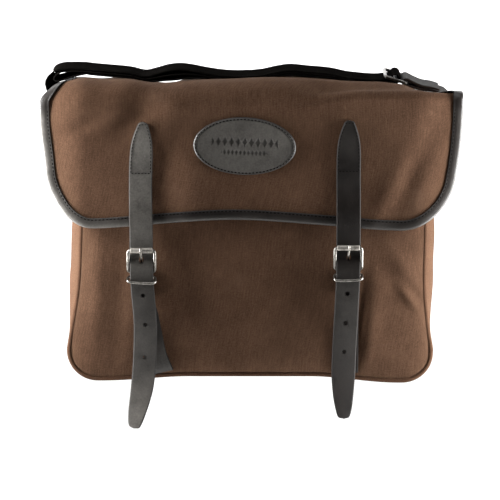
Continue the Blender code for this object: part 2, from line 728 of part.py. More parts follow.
def ring(name, inner, outer, half_length, finish, collection):
    """A turned tube about its own Z: a rectangle's profile carried round by a Screw modifier."""
    mesh = bpy.data.meshes.new(name)
    profile = bmesh.new()
    corners = [(outer, half_length), (outer, -half_length), (inner, -half_length), (inner, half_length)]
    verts = [profile.verts.new((r, 0, z)) for r, z in corners]
    for a, b in zip(verts, verts[1:] + verts[:1]):
        profile.edges.new((a, b))
    profile.to_mesh(mesh)
    profile.free()
    made = add_object(name, mesh, finish, collection)
    screw = made.modifiers.new("Turn", "SCREW")
    screw.steps = screw.render_steps = 12
    screw.use_merge_vertices = True
    screw.merge_threshold = 0.00005
    return made


def buckle(side, metal, collection):
    """A wire frame with a roller on its upper bar, a prong round its lower bar, and a wire keeper loop below."""
    bar = buckle_middle(side)
    name = side_name(side) + "_"
    strap_y = float(strap_centre(STRAP, side, np.array([BAR_HEIGHT + ROLLER_RISE]))[0, 1])
    roller = np.array([bar[0], strap_y - BILLET_LEATHER / 2 - RUNNING_GAP - ROLLER_RADIUS, bar[2] + ROLLER_RISE])
    reach = roller - bar
    length = float(np.linalg.norm(reach))
    middle = (bar + roller) / 2
    loop = rounded_loop(FRAME_HALF_WIDTH, length / 2, FRAME_CORNER)
    frame = [middle + np.array([a, 0, 0]) + reach / length * b for a, b in loop]
    rod(name + "buckle_frame", frame, FRAME_WIRE, metal, collection, closed=True)
    tube = ring(name + "buckle_roller", FRAME_WIRE + RUNNING_GAP, ROLLER_RADIUS, ROLLER_HALF_LENGTH, metal, collection)
    tube.location = roller
    tube.rotation_euler = (0, math.pi / 2, 0)
    # The prong curls round the lower bar, passes through the strap's worn hole and rests on the roller
    hook = FRAME_WIRE + RUNNING_GAP + PRONG_WIRE
    curl = [bar + hook * np.array([0, -math.sin(a), -math.cos(a)]) for a in np.radians([-150, -100, -50, 0, 45, 80])]
    through = [bar + np.array([0, BAR_STANDOFF - row.standoff, row.rise]) for row in PRONG]
    over = ROLLER_RADIUS + RUNNING_GAP + PRONG_WIRE
    tip = [roller + over * np.array([0, -math.sin(a), math.cos(a)]) for a in np.radians([90, 62, 30])]
    rod(name + "buckle_prong", [*curl, *through, *tip], PRONG_WIRE, metal, collection, resolution=1)
    keeper(side, bar, metal, collection)


def keeper(side, bar, metal, collection):
    """A wire loop held in the fold of the anchor strap, with the closing strap passing under its front bar."""
    back = bar - np.array([0, 0, KEEPER_DROP])
    strap_y = float(strap_centre(STRAP, side, back[2:])[0, 1])
    reach = back[1] - (strap_y - BILLET_LEATHER / 2 - 0.0006 - KEEPER_WIRE)
    points = []
    for a, b in rounded_loop(KEEPER_HALF_WIDTH, reach / 2, 0.0012):
        lean = math.tan(KEEPER_LEAN) * a * (0.5 - b / reach)
        points.append(back + np.array([a, b - reach / 2, lean]))
    rod(side_name(side) + "_strap_keeper", points, KEEPER_WIRE, metal, collection, closed=True, resolution=1)


def band(name, path, half_width, thickness, finish, collection):
    """A flat band along a centre line, with its width running from front to back."""

    def place(u, v):
        spot = path[grid_rows(path, v)].copy()
        spot[:, 1] += (2 * u - 1) * half_width
        return spot

    return sheet(name, place, (1, len(path) - 1), thickness, 0, finish, collection)


def bend_round(centre, radius, start, end, steps):
    """Points round a bar that runs from front to back, between two angles in degrees."""
    turn = np.radians(np.linspace(start, end, steps))
    return [(centre[0] + radius * math.cos(a), WEBBING_TOP_Y, centre[1] + radius * math.sin(a)) for a in turn]


def shoulder_strap(webbing, collection):
    """The webbing's whole length: its three layers along the top, round the slider's middle bar and its free end."""
    pitch = 2 * STRAP_TURN
    along = np.linspace(STRAP_TOPS[0].across, 0.0930, 24)
    layers = []
    for layer in range(3):
        z = read_table(STRAP_TOPS, "across", "height", along) - layer * pitch
        layers.append(np.stack([along, 0 * along + WEBBING_TOP_Y, z], axis=1))
    turn_z = layers[0][-1, 2] - STRAP_TURN
    right_turn = bend_round((along[-1], turn_z), STRAP_TURN, 60, -60, 3)
    left_turn = resample(STRAP_LEFT_TURN, 0.005)
    bend = SLIDER_BAR + RUNNING_GAP + WEBBING / 2
    over = bend_round(SLIDER_MIDDLE, bend, -90, 150, 7)
    entry = [(x, WEBBING_TOP_Y, z) for x, z in SLIDER_ENTRY]
    free = [(x, WEBBING_TOP_Y, z) for x, z in FREE_END]
    path = [*resample(STRAP_RISE, 0.009)[:-1], *layers[0], *right_turn, *layers[1][::-1], *left_turn, *layers[2]]
    band("shoulder_strap", np.array([*path, *entry, *over, *free]), WEBBING_HALF_WIDTH, WEBBING, webbing, collection)


def shoulder_tab(leather, collection):
    """The leather tab that is sewn to the right gusset and folded round the slider's right bar."""
    bar = (SLIDER_MIDDLE[0] + SLIDER_PITCH, SLIDER_MIDDLE[1])
    bend = SLIDER_BAR + RUNNING_GAP + TAB_LEATHER / 2
    under = bend_round(bar, bend, 290, 70, 7)
    fold = [(0.1520, WEBBING_TOP_Y, 0.2712), (0.1600, WEBBING_TOP_Y, 0.2690)]
    path = np.array([*resample(TAB_ROUTE, 0.009), *under, *fold])
    band("right_shoulder_tab", path, TAB_HALF_WIDTH, TAB_LEATHER, leather, collection)


def shoulder_patch(leather, collection):
    """The leather patch sewn over the webbing's end on the left gusset."""
    x = STRAP_RISE[0][0] - WEBBING / 2 - GAP - TAB_LEATHER / 2
    path = np.array([(x, 0, z) for z in np.linspace(0.186, 0.226, 3)])
    band("left_shoulder_patch", path, TAB_HALF_WIDTH + 0.003, TAB_LEATHER, leather, collection)


def slider(metal, collection):
    """A flat metal slide with three bars: an outer loop of rod with a middle bar joined to it."""
    frame = rod("slider_frame", [(a, b, 0) for a, b in rounded_loop(SLIDER_PITCH, SLIDER_HALF_WIDTH, 0.002)],
                SLIDER_BAR, metal, collection, closed=True)
    bar_half = SLIDER_HALF_WIDTH - SLIDER_BAR / 4
    bar = rod("slider_bar", [(0, -bar_half, 0), (0, bar_half, 0)], SLIDER_BAR * 0.94, metal, collection)
    joined = as_mesh(frame, "slider", collection)
    middle = as_mesh(bar, "slider_bar", collection)
    for piece in (joined, middle):
        piece.location = (SLIDER_MIDDLE[0], WEBBING_TOP_Y, SLIDER_MIDDLE[1])
    combine(joined, middle, "slider_middle_bar", "UNION")


def as_mesh(obj, name, collection):
    """A curve object turned into a mesh object with its caps welded on."""
    graph = bpy.context.evaluated_depsgraph_get()
    mesh = bpy.data.meshes.new_from_object(obj.evaluated_get(graph))
    weld = bmesh.new()
    weld.from_mesh(mesh)
    bmesh.ops.remove_doubles(weld, verts=weld.verts, dist=1e-6)
    weld.to_mesh(mesh)
    weld.free()
    made = bpy.data.objects.new(name, mesh)
    made.matrix_world = obj.matrix_world
    collection.objects.link(made)
    bpy.data.objects.remove(obj)
    return made


def piping(name, outward, finish, collection):
    """The covered cord in a piped seam, just outside the panel's edge."""
    path = seam_path(0.0, SEAM_STEPS)
    points = [(x, outward * float(seam_half_depth(z)), z) for x, z in path]
    return rod(name, points, PIPING_RADIUS, finish, collection, resolution=1)


def build():
    for old in list(bpy.data.objects):
        bpy.data.objects.remove(old)
    bag = bpy.data.collections.new("dog_training_bag")
    cutters = bpy.data.collections.new("cutters")
    for collection in (bag, cutters):
        bpy.context.scene.collection.children.link(collection)
    canvas = material("canvas", (0.145, 0.085, 0.055), 0.9)
    leather = material("leather", (0.030, 0.024, 0.020), 0.45)
    webbing = material("webbing", (0.006, 0.006, 0.006), 0.85)
    metal = material("nickel", (0.62, 0.60, 0.56), 0.28, 1.0)

    sheet("front_panel", panel_place((4, 14), -1), (22, 14), CANVAS, -1, canvas, bag)
    sheet("back_panel", panel_place((4, 8), 1), (16, 6), CANVAS, -1, canvas, bag)
    gusset_path = seam_path(0.0, SEAM_STEPS)
    sheet("gusset", gusset_place(gusset_path), (len(gusset_path) - 1, 5), CANVAS, -1, canvas, bag)
    piping("front_piping", -1, canvas, bag)
    piping("back_piping", 1, canvas, bag)
    sheet("flap", flap_place, (FLAP_COLUMNS, sum(FLAP_ROWS)), CANVAS, -1, canvas, bag)
    rim_cells = 2 * sum(FLAP_ROWS) + FLAP_COLUMNS
    sheet("flap_binding", binding_place, (rim_cells, 5), BINDING_LEATHER, 1, leather, bag)
    sheet("badge", badge_place, (8, 6), BADGE_LEATHER, 1, leather, bag)
    for side in (LEFT, RIGHT):
        closing_strap(side, leather, bag)
        anchor_strap(side, leather, bag)
        buckle(side, metal, bag)
    shoulder_strap(webbing, bag)
    shoulder_tab(leather, bag)
    shoulder_patch(leather, bag)
    slider(metal, bag)


build()
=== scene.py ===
"""Looks for a brown canvas dog training bag with a leather bound flap, buckled straps and a webbing strap.

The front faces -Y and the origin is the middle of the base. Every cloth, leather and webbing piece is a fine
surface worked out on a grid or swept along a path, and lies where the coarse solid of the same name lies.
"""

import math

import bpy
import numpy as np
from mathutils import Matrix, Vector


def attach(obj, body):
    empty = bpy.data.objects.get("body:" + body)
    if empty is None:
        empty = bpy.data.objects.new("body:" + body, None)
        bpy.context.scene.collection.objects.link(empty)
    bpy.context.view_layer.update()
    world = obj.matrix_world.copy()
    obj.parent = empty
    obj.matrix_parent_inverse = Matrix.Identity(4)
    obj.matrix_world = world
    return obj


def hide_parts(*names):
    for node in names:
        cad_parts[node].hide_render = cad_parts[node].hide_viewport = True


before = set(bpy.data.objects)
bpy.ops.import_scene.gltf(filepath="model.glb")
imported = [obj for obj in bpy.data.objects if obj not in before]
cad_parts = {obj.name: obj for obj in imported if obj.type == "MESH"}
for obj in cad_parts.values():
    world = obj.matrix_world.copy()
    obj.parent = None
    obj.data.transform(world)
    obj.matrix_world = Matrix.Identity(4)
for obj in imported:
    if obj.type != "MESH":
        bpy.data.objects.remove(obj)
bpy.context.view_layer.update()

LEFT, RIGHT = -1, 1
SIDE_NAME = {LEFT: "left", RIGHT: "right"}
ACROSS, BACKWARD, FORWARD = (1.0, 0.0, 0.0), (0.0, 1.0, 0.0), (0.0, -1.0, 0.0)
QUARTER = math.pi / 2
CANVAS = 0.0020
PIPING_RADIUS = 0.0025
GAP = 0.0004
MOUTH = 0.250
CORNER = 0.026
SEAM_ROLL = 0.005
BACK_ROLL = 0.6 * SEAM_ROLL
BELLY = 0.009
GUSSET_BULGE = 0.0085
# How far the edges of the panels and of the gusset are let into the piping, across and in depth
PANEL_INSET = 0.0009
PANEL_START = 0.0023
PANEL_START_DROP = 0.0011
GUSSET_INSET = 0.0019
GUSSET_START = 0.0015
STANDOFF = 0.0043
CREASE_HEIGHT = 0.2644
FLAP_HALF = 0.190
EAR_DROP = {LEFT: 0.0098, RIGHT: 0.0042}
FRONT_ROUND = 0.008
SOFT_DROP = 0.012
BACK_SEAM = 0.2260
BACK_HALF = 0.1665
BACK_ROUND = 0.009
FLOOR = -0.32
BINDING_WIDTH = 0.0092
STITCH_PITCH = 0.0034
BADGE_CENTRE = (-0.0048, 0.2150)
BADGE_HALF = (0.0465, 0.0262)
BADGE_TILT = math.radians(-2.5)
BADGE_STITCH_INSET = 0.0018
BAR_HEIGHT = {LEFT: 0.1004, RIGHT: 0.1028}
BAR_X = {LEFT: -0.0985, RIGHT: 0.0892}
BAR_STANDOFF = 0.0048
BAR_BEND = 0.0027
FRAME_HALF = 0.0121
FRAME_WIRE = 0.0015
ROLLER_RISE = 0.0208
ROLLER_RADIUS = 0.0024
CLEARANCE = 0.0003
KEEPER_HALF = 0.0126
KEEPER_WIRE = 0.0012
KEEPER_LEAN = {LEFT: math.radians(-3.0), RIGHT: math.radians(2.0)}
TOP_Y = 0.014
WEB_HALF = 0.019
WEB_THICKNESS = 0.0015
LAYER_PITCH = 0.0019
BAND_THICKNESS = 0.0024
RISE_SKEW = 0.27
SLIDER = (0.1330, 0.2690)
SLIDER_LEAN = math.radians(-18)
SLIDER_HALF = (0.0100, 0.0225)
SLIDER_ROD = 0.0015
CAMERA_RISE = math.radians(11.5)
VIEW_WIDTH = 0.455
# The half width for which a ribbon's UV across it is right
NOMINAL_HALF = 0.0100


def table(*rows, units=0.001):
    """Rows of numbers, written in millimetres and given in metres, or scaled by a unit for each column."""
    return np.array(rows) * units


# Tables: the first column is the height or the place across the bag, and the rest are read against it
SEAM = table(
    (-10, 165.5, 166), (22, 165.5, 165.5), (45, 162, 162), (75, 157, 159), (140, 153, 159),
    (200, 151.5, 156), (255, 150, 154),
)
FLAP_SIDE = table(
    (140, 176, 176.5), (165, 178.5, 180.5), (187, 182.5, 184.5), (205, 184.5, 187.2), (230, 187.5, 189.5),
    (265, 189.5, 190.8),
)
FLAP_EDGE = table(
    (-190, 142.2), (-137, 142.5), (-87, 146.6), (-50, 150), (-4, 150.6), (25, 149), (75, 145.2),
    (125, 140.8), (146, 140), (190, 140),
)
FLAP_CORNER = {LEFT: (0.034, 0.044), RIGHT: (0.041, 0.042)}
TOP = table(
    (-195, 260), (-181, 261.8), (-174, 263.4), (-165, 264.8), (-152, 265), (-137, 264), (-121, 265),
    (-109, 266), (-98, 264), (-88, 261), (-78, 260), (-68, 260.8), (-57, 264), (-37, 266), (-13, 266.1),
    (10, 266.9), (25, 269.6), (45, 269.8), (60, 269.2), (75, 267.8), (89, 265.2), (105, 263), (124, 259),
    (140, 255.2), (152, 253.3), (165, 252.2), (195, 252.2),
)
# The flap's crown in front of the shoulder strap, where the canvas stands up round the strap's weight
CROWN_Y = -0.020
CROWN_SHARE = 0.42
CROWN = table(
    (-195, 260), (-181, 262.8), (-174, 266.4), (-167, 269.4), (-159, 271.8), (-152, 273), (-143, 272.8),
    (-132, 271.8), (-121, 271.9), (-109, 272), (-100, 270.6), (-90, 269), (-79, 268.6), (-68, 269.2),
    (-57, 270.4), (-37, 271.7), (-13, 272.5), (25, 273.5), (60, 272.1), (75, 271.1), (89, 270),
    (105, 269.6), (118, 269.4), (130, 268), (139, 266.8), (146, 264), (153, 261.2), (160, 259), (195, 256),
)
# Closing and anchor straps: height, left and right places across, clearance from the front face
STRAP = table(
    (-44, -106, 85, 15), (-30, -103.3, 85.5, 13.5), (-12, -99.4, 85, 12), (8, -96.7, 85, 11.2),
    (28, -95.6, 85.7, 10.8), (55, -95.2, 87, 10.5), (85, -97.5, 88.5, 10.3), (99, -98.3, 89, 10.2),
    (106, -98.5, 89.2, 9.8), (114, -98.6, 89.3, 8.3), (122, -98.6, 89.3, 7.8), (158, -99, 89.3, 7.7),
    (168, -99.1, 89.3, 6.2), (190, -99, 89.2, 6), (238, -96.6, 90, 6),
)
STRAP_TOP = {LEFT: 0.2370, RIGHT: 0.2385}
STRAP_TIP = {LEFT: -0.0440, RIGHT: -0.0350}
STRAP_HALF = {LEFT: 0.0106, RIGHT: 0.0110}
HOLES = {LEFT: (0.0798, 0.0529, 0.0224), RIGHT: (0.0817, 0.0545, 0.0276)}
# Grey wax bloom and painted highlight down the closing straps, by height for the left and right strap: the
# left one is painted much lighter, where the left lamp's sheen falls
STRAP_BLOOM_AND_PAINTED_SHEEN = table(
    (-50, 0.62, 0.03), (-10, 0.42, 0.03), (40, 0.3, 0.17), (90, 0.3, 0.17), (110, 0.42, 0.02),
    (150, 0.66, 0), (175, 0.8, 0), (200, 0.88, 0), (210, 1, 0.08), (240, 0.98, 0.07),
    units=(0.001, 1, 1),
)
# Part of the full half width, by distance from the strap's sewn end and from its free end
SEWN_END = table(
    (0, 0.1), (0.4, 0.24), (1.2, 0.36), (3.5, 0.48), (7, 0.6), (12, 0.75), (18, 0.88), (26, 0.97), (34, 1),
    units=(0.001, 1),
)
FREE_END = table(
    (0, 0.04), (0.7, 0.36), (2, 0.5), (4.5, 0.6), (9, 0.7), (18, 0.83), (28, 0.92), (40, 0.99), (50, 1),
    units=(0.001, 1),
)
# Twist of a closing strap in radians, and the height where its stitching ends
STRAP_CURL = table(
    (-45, 0.35), (0, 0.16), (60, 0.05), (120, 0), (240, 0),
    units=(0.001, 1),
)
STITCHED_FROM = {LEFT: 0.1905, RIGHT: 0.1925}
STRAP_THICKNESS = 0.0026
ANCHOR = table(
    (5, -80.5, 88, 1.6), (20, -86, 88.2, 1.6), (40, -89.8, 88.5, 2), (60, -93.4, 88.8, 4.2),
    (74, -96.8, 89, 6.6), (85, -97.8, 89, 7.5), (105, -98.5, 89.2, 7.5),
)
# The roller's turned profile along and out from its axis, and the prong's way through the strap
ROLLER_PROFILE = table(
    (-10, 1.58), (-10.1, 2), (-9.8, 2.36), (-9.2, 2.44), (9.2, 2.44), (9.8, 2.36), (10.1, 2), (10, 1.58),
    (9.9, 1.56), (-9.9, 1.56),
)
PRONG_ROUTE = table(
    (3.6, 5.6), (8.5, 5.8), (12, 8.2), (15, 12),
)
# The shoulder strap's rise from the left gusset, its layers along the top, its turns and its end
RISE = table(
    (-162.6, 0, 195), (-162.6, 0, 215), (-163, 0, 233), (-169, 3, 244), (-176.5, 7, 253),
    (-180.8, 9, 262.5), (-181.1, 10, 270.5), (-177.5, 11, 276.5), (-170, 12, 278.9), (-160, 13, 279.1),
    (-150, 14, 278.7),
)
STRAP_TOPS = table(
    (-150, 278.7), (-143.5, 277.9), (-129.5, 276.6), (-108.5, 274.5), (-94.5, 271.7), (-85.4, 273.8),
    (-73.5, 277), (-61.3, 277.8), (-53.9, 276.8), (-37.1, 273.6), (-21.7, 271.6), (-4.9, 271.3),
    (10.5, 272.4), (24.5, 275.4), (34, 276.9), (53.9, 275.5), (74.9, 273.8), (90, 270.8), (105, 270),
)
LEFT_TURN = table(
    (-160, 13, 276.8), (-169.7, 12, 276.4), (-175.5, 11, 274.6), (-178.5, 11, 270.8), (-177.8, 11, 268.2),
    (-173.5, 11, 268.3), (-166.5, 12, 270.2), (-160, 13, 272.2),
)
SLIDER_ENTRY = table(
    (101.5, 266.5), (110, 265.8), (117, 265.8), (124, 266.2),
)
TAIL = table(
    (127.5, 269.8), (125.8, 269.2), (123, 268.8), (116.5, 268.2), (108, 268.4), (93.7, 269.8),
)
TAB_ROUTE = table(
    (168.2, 0, 185), (168.2, 0, 205), (168.6, 0, 222), (173, 1, 234.5), (180, 3, 242), (183, 5, 247.5),
    (180.2, 8, 252.8), (174, 10, 256.5), (166, 13, 258.5), (157.5, 14, 259.7), (149, 14, 261.4),
)
TAB_FOLD = table(
    (150, 265.4), (157.5, 262.4), (166, 261), (172.5, 258.8),
)
# Soft folds: place across, height, lean, length, width and rise
FOLD_UNITS = (0.001, 0.001, 1, 0.001, 0.001, 0.001)
BODY_FOLDS = table(
    (-140, 78, 0.05, 60, 8, 1.3), (-118, 75, 0.06, 60, 8, -0.9), (-62, 120, -0.25, 40, 12, -2),
    (99.5, 55, 0.08, 45, 5.5, -2.4), (111, 50, 0.15, 45, 8, 1.4), (146, 72.5, -0.7, 14, 4, 2.6),
    (151.5, 78.5, -0.7, 14, 4, -1.6), (138, 105, -0.6, 26, 8, 1.5), (128, 92, -0.6, 22, 8, -0.8),
    (118, 32, 1.45, 16, 4, 1.2),
    units=FOLD_UNITS,
)
FLAP_FOLDS = table(
    (-52, 168, 0.03, 50, 20, 3.4), (12, 172, 0, 50, 28, -1.6), (-100, 243, 0.95, 24, 9, -2.6),
    (-78, 232, 0.8, 30, 10, 1.8), (-150, 234, 1.1, 22, 7, -1.8), (150, 200, 0.45, 45, 12, -3),
    (130, 178, 0.5, 40, 10, 2.2),
    units=FOLD_UNITS,
)


def read_table(rows, column, at):
    """Smooth curve through a table's column: cubic pieces with the slopes between neighbouring rows."""
    keys, values = rows[:, 0], rows[:, column]
    slopes = np.gradient(values, keys)
    at = np.clip(np.asarray(at, float), keys[0], keys[-1])
    i = np.clip(np.searchsorted(keys, at) - 1, 0, len(keys) - 2)
    span = keys[i + 1] - keys[i]
    t = (at - keys[i]) / span
    start = (1 + 2 * t) * (1 - t) ** 2 * values[i] + t * (1 - t) ** 2 * span * slopes[i]
    return start + t * t * (3 - 2 * t) * values[i + 1] + t * t * (t - 1) * span * slopes[i + 1]


def by_side(rows, at, side):
    """A table's left column where side is negative, and its right column elsewhere."""
    return np.where(side < 0, read_table(rows, 1, at), read_table(rows, 2, at))


def ease(low, high, value):
    """0 at low and before it, 1 at high and beyond it, and a smooth step between, in either direction."""
    t = np.clip((value - low) / (high - low), 0.0, 1.0)
    return t * t * (3 - 2 * t)


def bell(value, centre, width):
    """exp(-((value - centre) / width)^2): a hump of height 1."""
    return np.exp(-(((value - centre) / width) ** 2))


def unit(vectors):
    """Vectors divided by their lengths."""
    return vectors / np.maximum(np.linalg.norm(vectors, axis=-1, keepdims=True), 1e-12)


def joined(*parts):
    """Numbers and arrays side by side as one array of points."""
    return np.stack(np.broadcast_arrays(*parts), axis=-1)


def circle(count):
    """Angles of evenly spaced places round a circle."""
    return np.linspace(0, 2 * math.pi, count, endpoint=False)


def run_length(points, axis=0):
    """Distance along each line of points, from its first point."""
    steps = np.linalg.norm(np.diff(points, axis=axis), axis=-1)
    zero = np.zeros_like(np.take(steps, [0], axis=axis))
    return np.concatenate([zero, np.cumsum(steps, axis=axis)], axis=axis)


def read_along(at, reach, rows):
    """Rows of numbers that belong to the distances in reach, read at other distances."""
    return joined(*[np.interp(at, reach, column) for column in rows.T])


def resample(points, step):
    """Catmull-Rom curve through given points, as evenly spaced points about one step apart."""
    points = np.array(points, float)
    padded = np.vstack([2 * points[0] - points[1], points, 2 * points[-1] - points[-2]])
    t = np.linspace(0, 1, 16, endpoint=False)[None, :, None]
    a, b, c, d = (padded[k : len(padded) - 3 + k, None] for k in range(4))
    fine = b + 0.5 * t * ((c - a) + t * (2 * a - 5 * b + 4 * c - d + t * (3 * (b - c) + d - a)))
    fine = np.vstack([fine.reshape(-1, points.shape[1]), points[-1:]])
    reach = run_length(fine)
    return read_along(np.linspace(0, reach[-1], max(2, round(reach[-1] / step)) + 1), reach, fine)


def smooth_rows(values, passes):
    """Evens out a run of vectors: each pass is a quarter, a half and a quarter of three neighbours."""
    for _ in range(passes):
        values[1:-1] = (values[:-2] + 2 * values[1:-1] + values[2:]) / 4
    return values


def ripple(x, z, seed, count, low, high):
    """Low cloth waves: the mean of a few sine waves with seeded headings, phases and lengths."""
    random = np.random.default_rng(seed)
    total = np.zeros(np.shape(x))
    for _ in range(count):
        heading, length = random.uniform(0, math.pi), random.uniform(low, high)
        turn = 2 * math.pi / length
        total += np.sin(turn * (x * math.cos(heading) + z * math.sin(heading)) + random.uniform(0, 6.28))
    return total / count


def fold_rise(folds, x, z):
    """Sum of the soft folds: each is a bell across its width times a bell along its length."""
    total = np.zeros(np.shape(x))
    for across, height, lean, length, width, rise in folds:
        cos, sin = math.cos(lean), math.sin(lean)
        along = (z - height) * cos + (x - across) * sin
        over = (x - across) * cos - (z - height) * sin
        total = total + rise * np.exp(-((over / width) ** 2) - (along / length) ** 2)
    return total


def seam_half_depth(z):
    """Half of the bag's depth between its two seams, narrowing from base to mouth."""
    return 0.0425 - 0.0055 * np.clip(z / MOUTH, 0, 1)


def base_line(x):
    """Height of the base seam: level in the middle, with the corners hanging a little lower."""
    return PIPING_RADIUS - np.where(x < 0, 0.004, 0.006) * ease(0.055, 0.135, np.abs(x))


def front_face(x, z):
    """Y of the front panel's outer face away from its seam, with a soft belly."""
    belly = BELLY * np.exp(-((x / 0.13) ** 2) - ((z - 0.085) / 0.085) ** 2)
    return -seam_half_depth(z) - SEAM_ROLL - belly


def roll_from_edge(distance):
    """How far the cloth has risen from its seam towards the panel's full face: 1 - exp(-distance / 9 mm)."""
    return 1 - np.exp(-np.maximum(distance, 0) / 0.009)


def front_skin(x, z):
    """Y of the front panel's outer face in the middle of the bag, down to its base seam."""
    seam = seam_half_depth(z) + CANVAS / 2
    return -(seam + roll_from_edge(z - base_line(x) - PIPING_RADIUS - GAP) * (-front_face(x, z) - seam))


def seam_path(inset, side_steps, corner_steps, base_steps):
    """X and Z along the seam: down the left side, round a corner, along the base and up the right side."""
    radius = CORNER - inset
    halves = []
    for side in (LEFT, RIGHT):
        foot = float(by_side(SEAM, CORNER, side)) - inset
        line = float(base_line(np.array(side * foot))) + inset
        z = np.linspace(MOUTH, line + radius, side_steps + 1)[:-1]
        a = np.linspace(QUARTER, 0, corner_steps + 1)
        wall = joined(side * (by_side(SEAM, z, side) - inset), z)
        arc = joined(side * (foot - radius * (1 - np.sin(a))), line + radius * (1 - np.cos(a)))
        halves.append(np.vstack([wall, arc]))
    x = np.linspace(halves[0][-1, 0], halves[1][-1, 0], base_steps + 1)[1:-1]
    return np.vstack([halves[0], joined(x, base_line(x) + inset), halves[1][::-1]])


# Meshes


def make_mesh(name, points, quads, uv=None, caps=(), **values):
    """A mesh object from points, four-sided faces, their corners' UV, end faces and values at points."""
    flat = points.reshape(-1, 3)
    loops = np.concatenate([quads.ravel(), *[np.asarray(cap) for cap in caps]]).astype(np.int32)
    totals = np.concatenate([np.full(len(quads), 4), [len(cap) for cap in caps]]).astype(np.int32)
    mesh = bpy.data.meshes.new(name)
    mesh.vertices.add(len(flat))
    mesh.vertices.foreach_set("co", flat.ravel().astype(np.float32))
    mesh.loops.add(len(loops))
    mesh.loops.foreach_set("vertex_index", loops)
    mesh.polygons.add(len(totals))
    mesh.polygons.foreach_set("loop_start", np.concatenate([[0], np.cumsum(totals)[:-1]]).astype(np.int32))
    mesh.polygons.foreach_set("loop_total", totals)
    if uv is not None:
        corner_uv = np.zeros((len(loops), 2), np.float32)
        corner_uv[: quads.size] = uv.reshape(-1, 2)
        mesh.uv_layers.new(name="cloth").data.foreach_set("uv", corner_uv.ravel())
    for key, value in values.items():
        if value is not None:
            layer = mesh.attributes.new(key, "FLOAT", "POINT")
            layer.data.foreach_set("value", np.asarray(value, np.float32).ravel())
    mesh.update(calc_edges=True)
    mesh.validate()
    mesh.shade_smooth()
    made = bpy.data.objects.new(name, mesh)
    bpy.context.scene.collection.objects.link(made)
    return made


def face_out(made):
    """Turns a closed mesh's faces outwards if the volume they enclose comes out negative."""
    mesh = made.data
    mesh.calc_loop_triangles()
    co = np.zeros(len(mesh.vertices) * 3, np.float32)
    mesh.vertices.foreach_get("co", co)
    corners = np.zeros(len(mesh.loop_triangles) * 3, np.int32)
    mesh.loop_triangles.foreach_get("vertices", corners)
    a, b, c = co.reshape(-1, 3)[corners.reshape(-1, 3)].astype(float).transpose(1, 0, 2)
    if np.sum(np.cross(a, b) * c) < 0:
        mesh.flip_normals()
    return made


def grid_quads(rows, columns, wrap=False, close=False):
    """Corner numbers of the cells of a grid of points. Its columns may wrap round, and its rows may close."""
    r, c = np.indices((rows if close else rows - 1, columns if wrap else columns - 1)).reshape(2, -1)
    after, around = (r + 1) % rows, (c + 1) % columns
    return joined(r * columns + c, r * columns + around, after * columns + around, after * columns + c)


def cloth(name, points, uv=None):
    """A grid of points as a sheet with a wall behind it. Its UV is the distance along rows and columns."""
    quads = grid_quads(*points.shape[:2])
    if uv is None:
        uv = joined(run_length(points, 1), run_length(points, 0))
    made = make_mesh(name, points, quads, uv.reshape(-1, 2)[quads])
    wall = made.modifiers.new("Wall", "SOLIDIFY")
    wall.thickness, wall.offset, wall.use_quality_normals = CANVAS, -1, True
    return made


def tube(name, points, around=None, reach=None, **values):
    """A ring of points at each place along a path, with closed ends. Its UV is the distance both ways."""
    rows, count = points.shape[:2]
    uv = None
    if around is not None:
        uv = joined(around[None], reach[:, None]).reshape(-1, 2)[grid_quads(rows, count + 1)]
    ends = (np.arange(count)[::-1], np.arange(count) + (rows - 1) * count)
    return face_out(make_mesh(name, points, grid_quads(rows, count, wrap=True), uv, ends, **values))


def sweep(name, path, side, face, half, section, edge=None, bloom=None):
    """A profile carried along a path: path + side * (part * (half - rounding) + offset) + face * height.

    section has four columns, and its last row closes it: which part of the half width a point is at, its
    further offset sideways, its height along the face direction, and the distance round the profile."""
    part, offset, height = section[:-1, :3].T
    around = section[:, 3] - section[:, 3].mean()
    rounding = np.abs(offset).max()
    half = np.broadcast_to(half, len(path))[:, None]
    sideways = part * np.maximum(half - rounding, 0) + offset * np.minimum(half / rounding, 1)
    points = path[:, None] + side[:, None] * sideways[..., None] + face[:, None] * height[:, None]
    if edge is not None:
        edge = np.broadcast_to(edge[:-1], sideways.shape)
    if bloom is not None:
        # The painted sheen and wax bloom are kept off the cut edges
        bloom = bloom[:, None] * (1 - 0.9 * edge)
    return tube(name, points, around, run_length(path), edge=edge, bloom=bloom)


def ribbon_section(thickness, rounding, crown, across=12, turn=4):
    """A flat ribbon's profile with rounded edges and a raised middle, and 1 on its edges, 0 on its faces."""
    s = np.sin(np.linspace(-QUARTER, QUARTER, across + 1))
    angles = np.linspace(QUARTER, -QUARTER, turn + 2)[1:-1]
    half = thickness / 2
    rows = [(v, 0.0, half + crown * (1 - v * v), 0.0) for v in s]
    rows += [(1, rounding * math.cos(t), half * math.sin(t), 1.0) for t in angles]
    rows += [(-v, 0.0, -half, 0.0) for v in s]
    rows += [(-1, -rounding * math.cos(t), -half * math.sin(t), 1.0) for t in angles]
    rows = np.array([*rows, rows[0]])
    around = run_length(joined(rows[:, 0] * NOMINAL_HALF + rows[:, 1], rows[:, 2]))
    return joined(*rows[:, :3].T, around), rows[:, 3]


def round_section(radius, count):
    """A circle's profile."""
    a = np.linspace(0, 2 * math.pi, count + 1)
    return joined(0 * a, radius * np.cos(a), radius * np.sin(a), radius * a)


def frame_along(path, side_hint):
    """Directions along a path: the side direction nearest the hint, and the face it and the path make."""
    tangent = unit(np.gradient(path, axis=0))
    hint = np.broadcast_to(side_hint, path.shape)
    side = unit(hint - tangent * np.sum(hint * tangent, axis=1, keepdims=True))
    return side, np.cross(side, tangent)


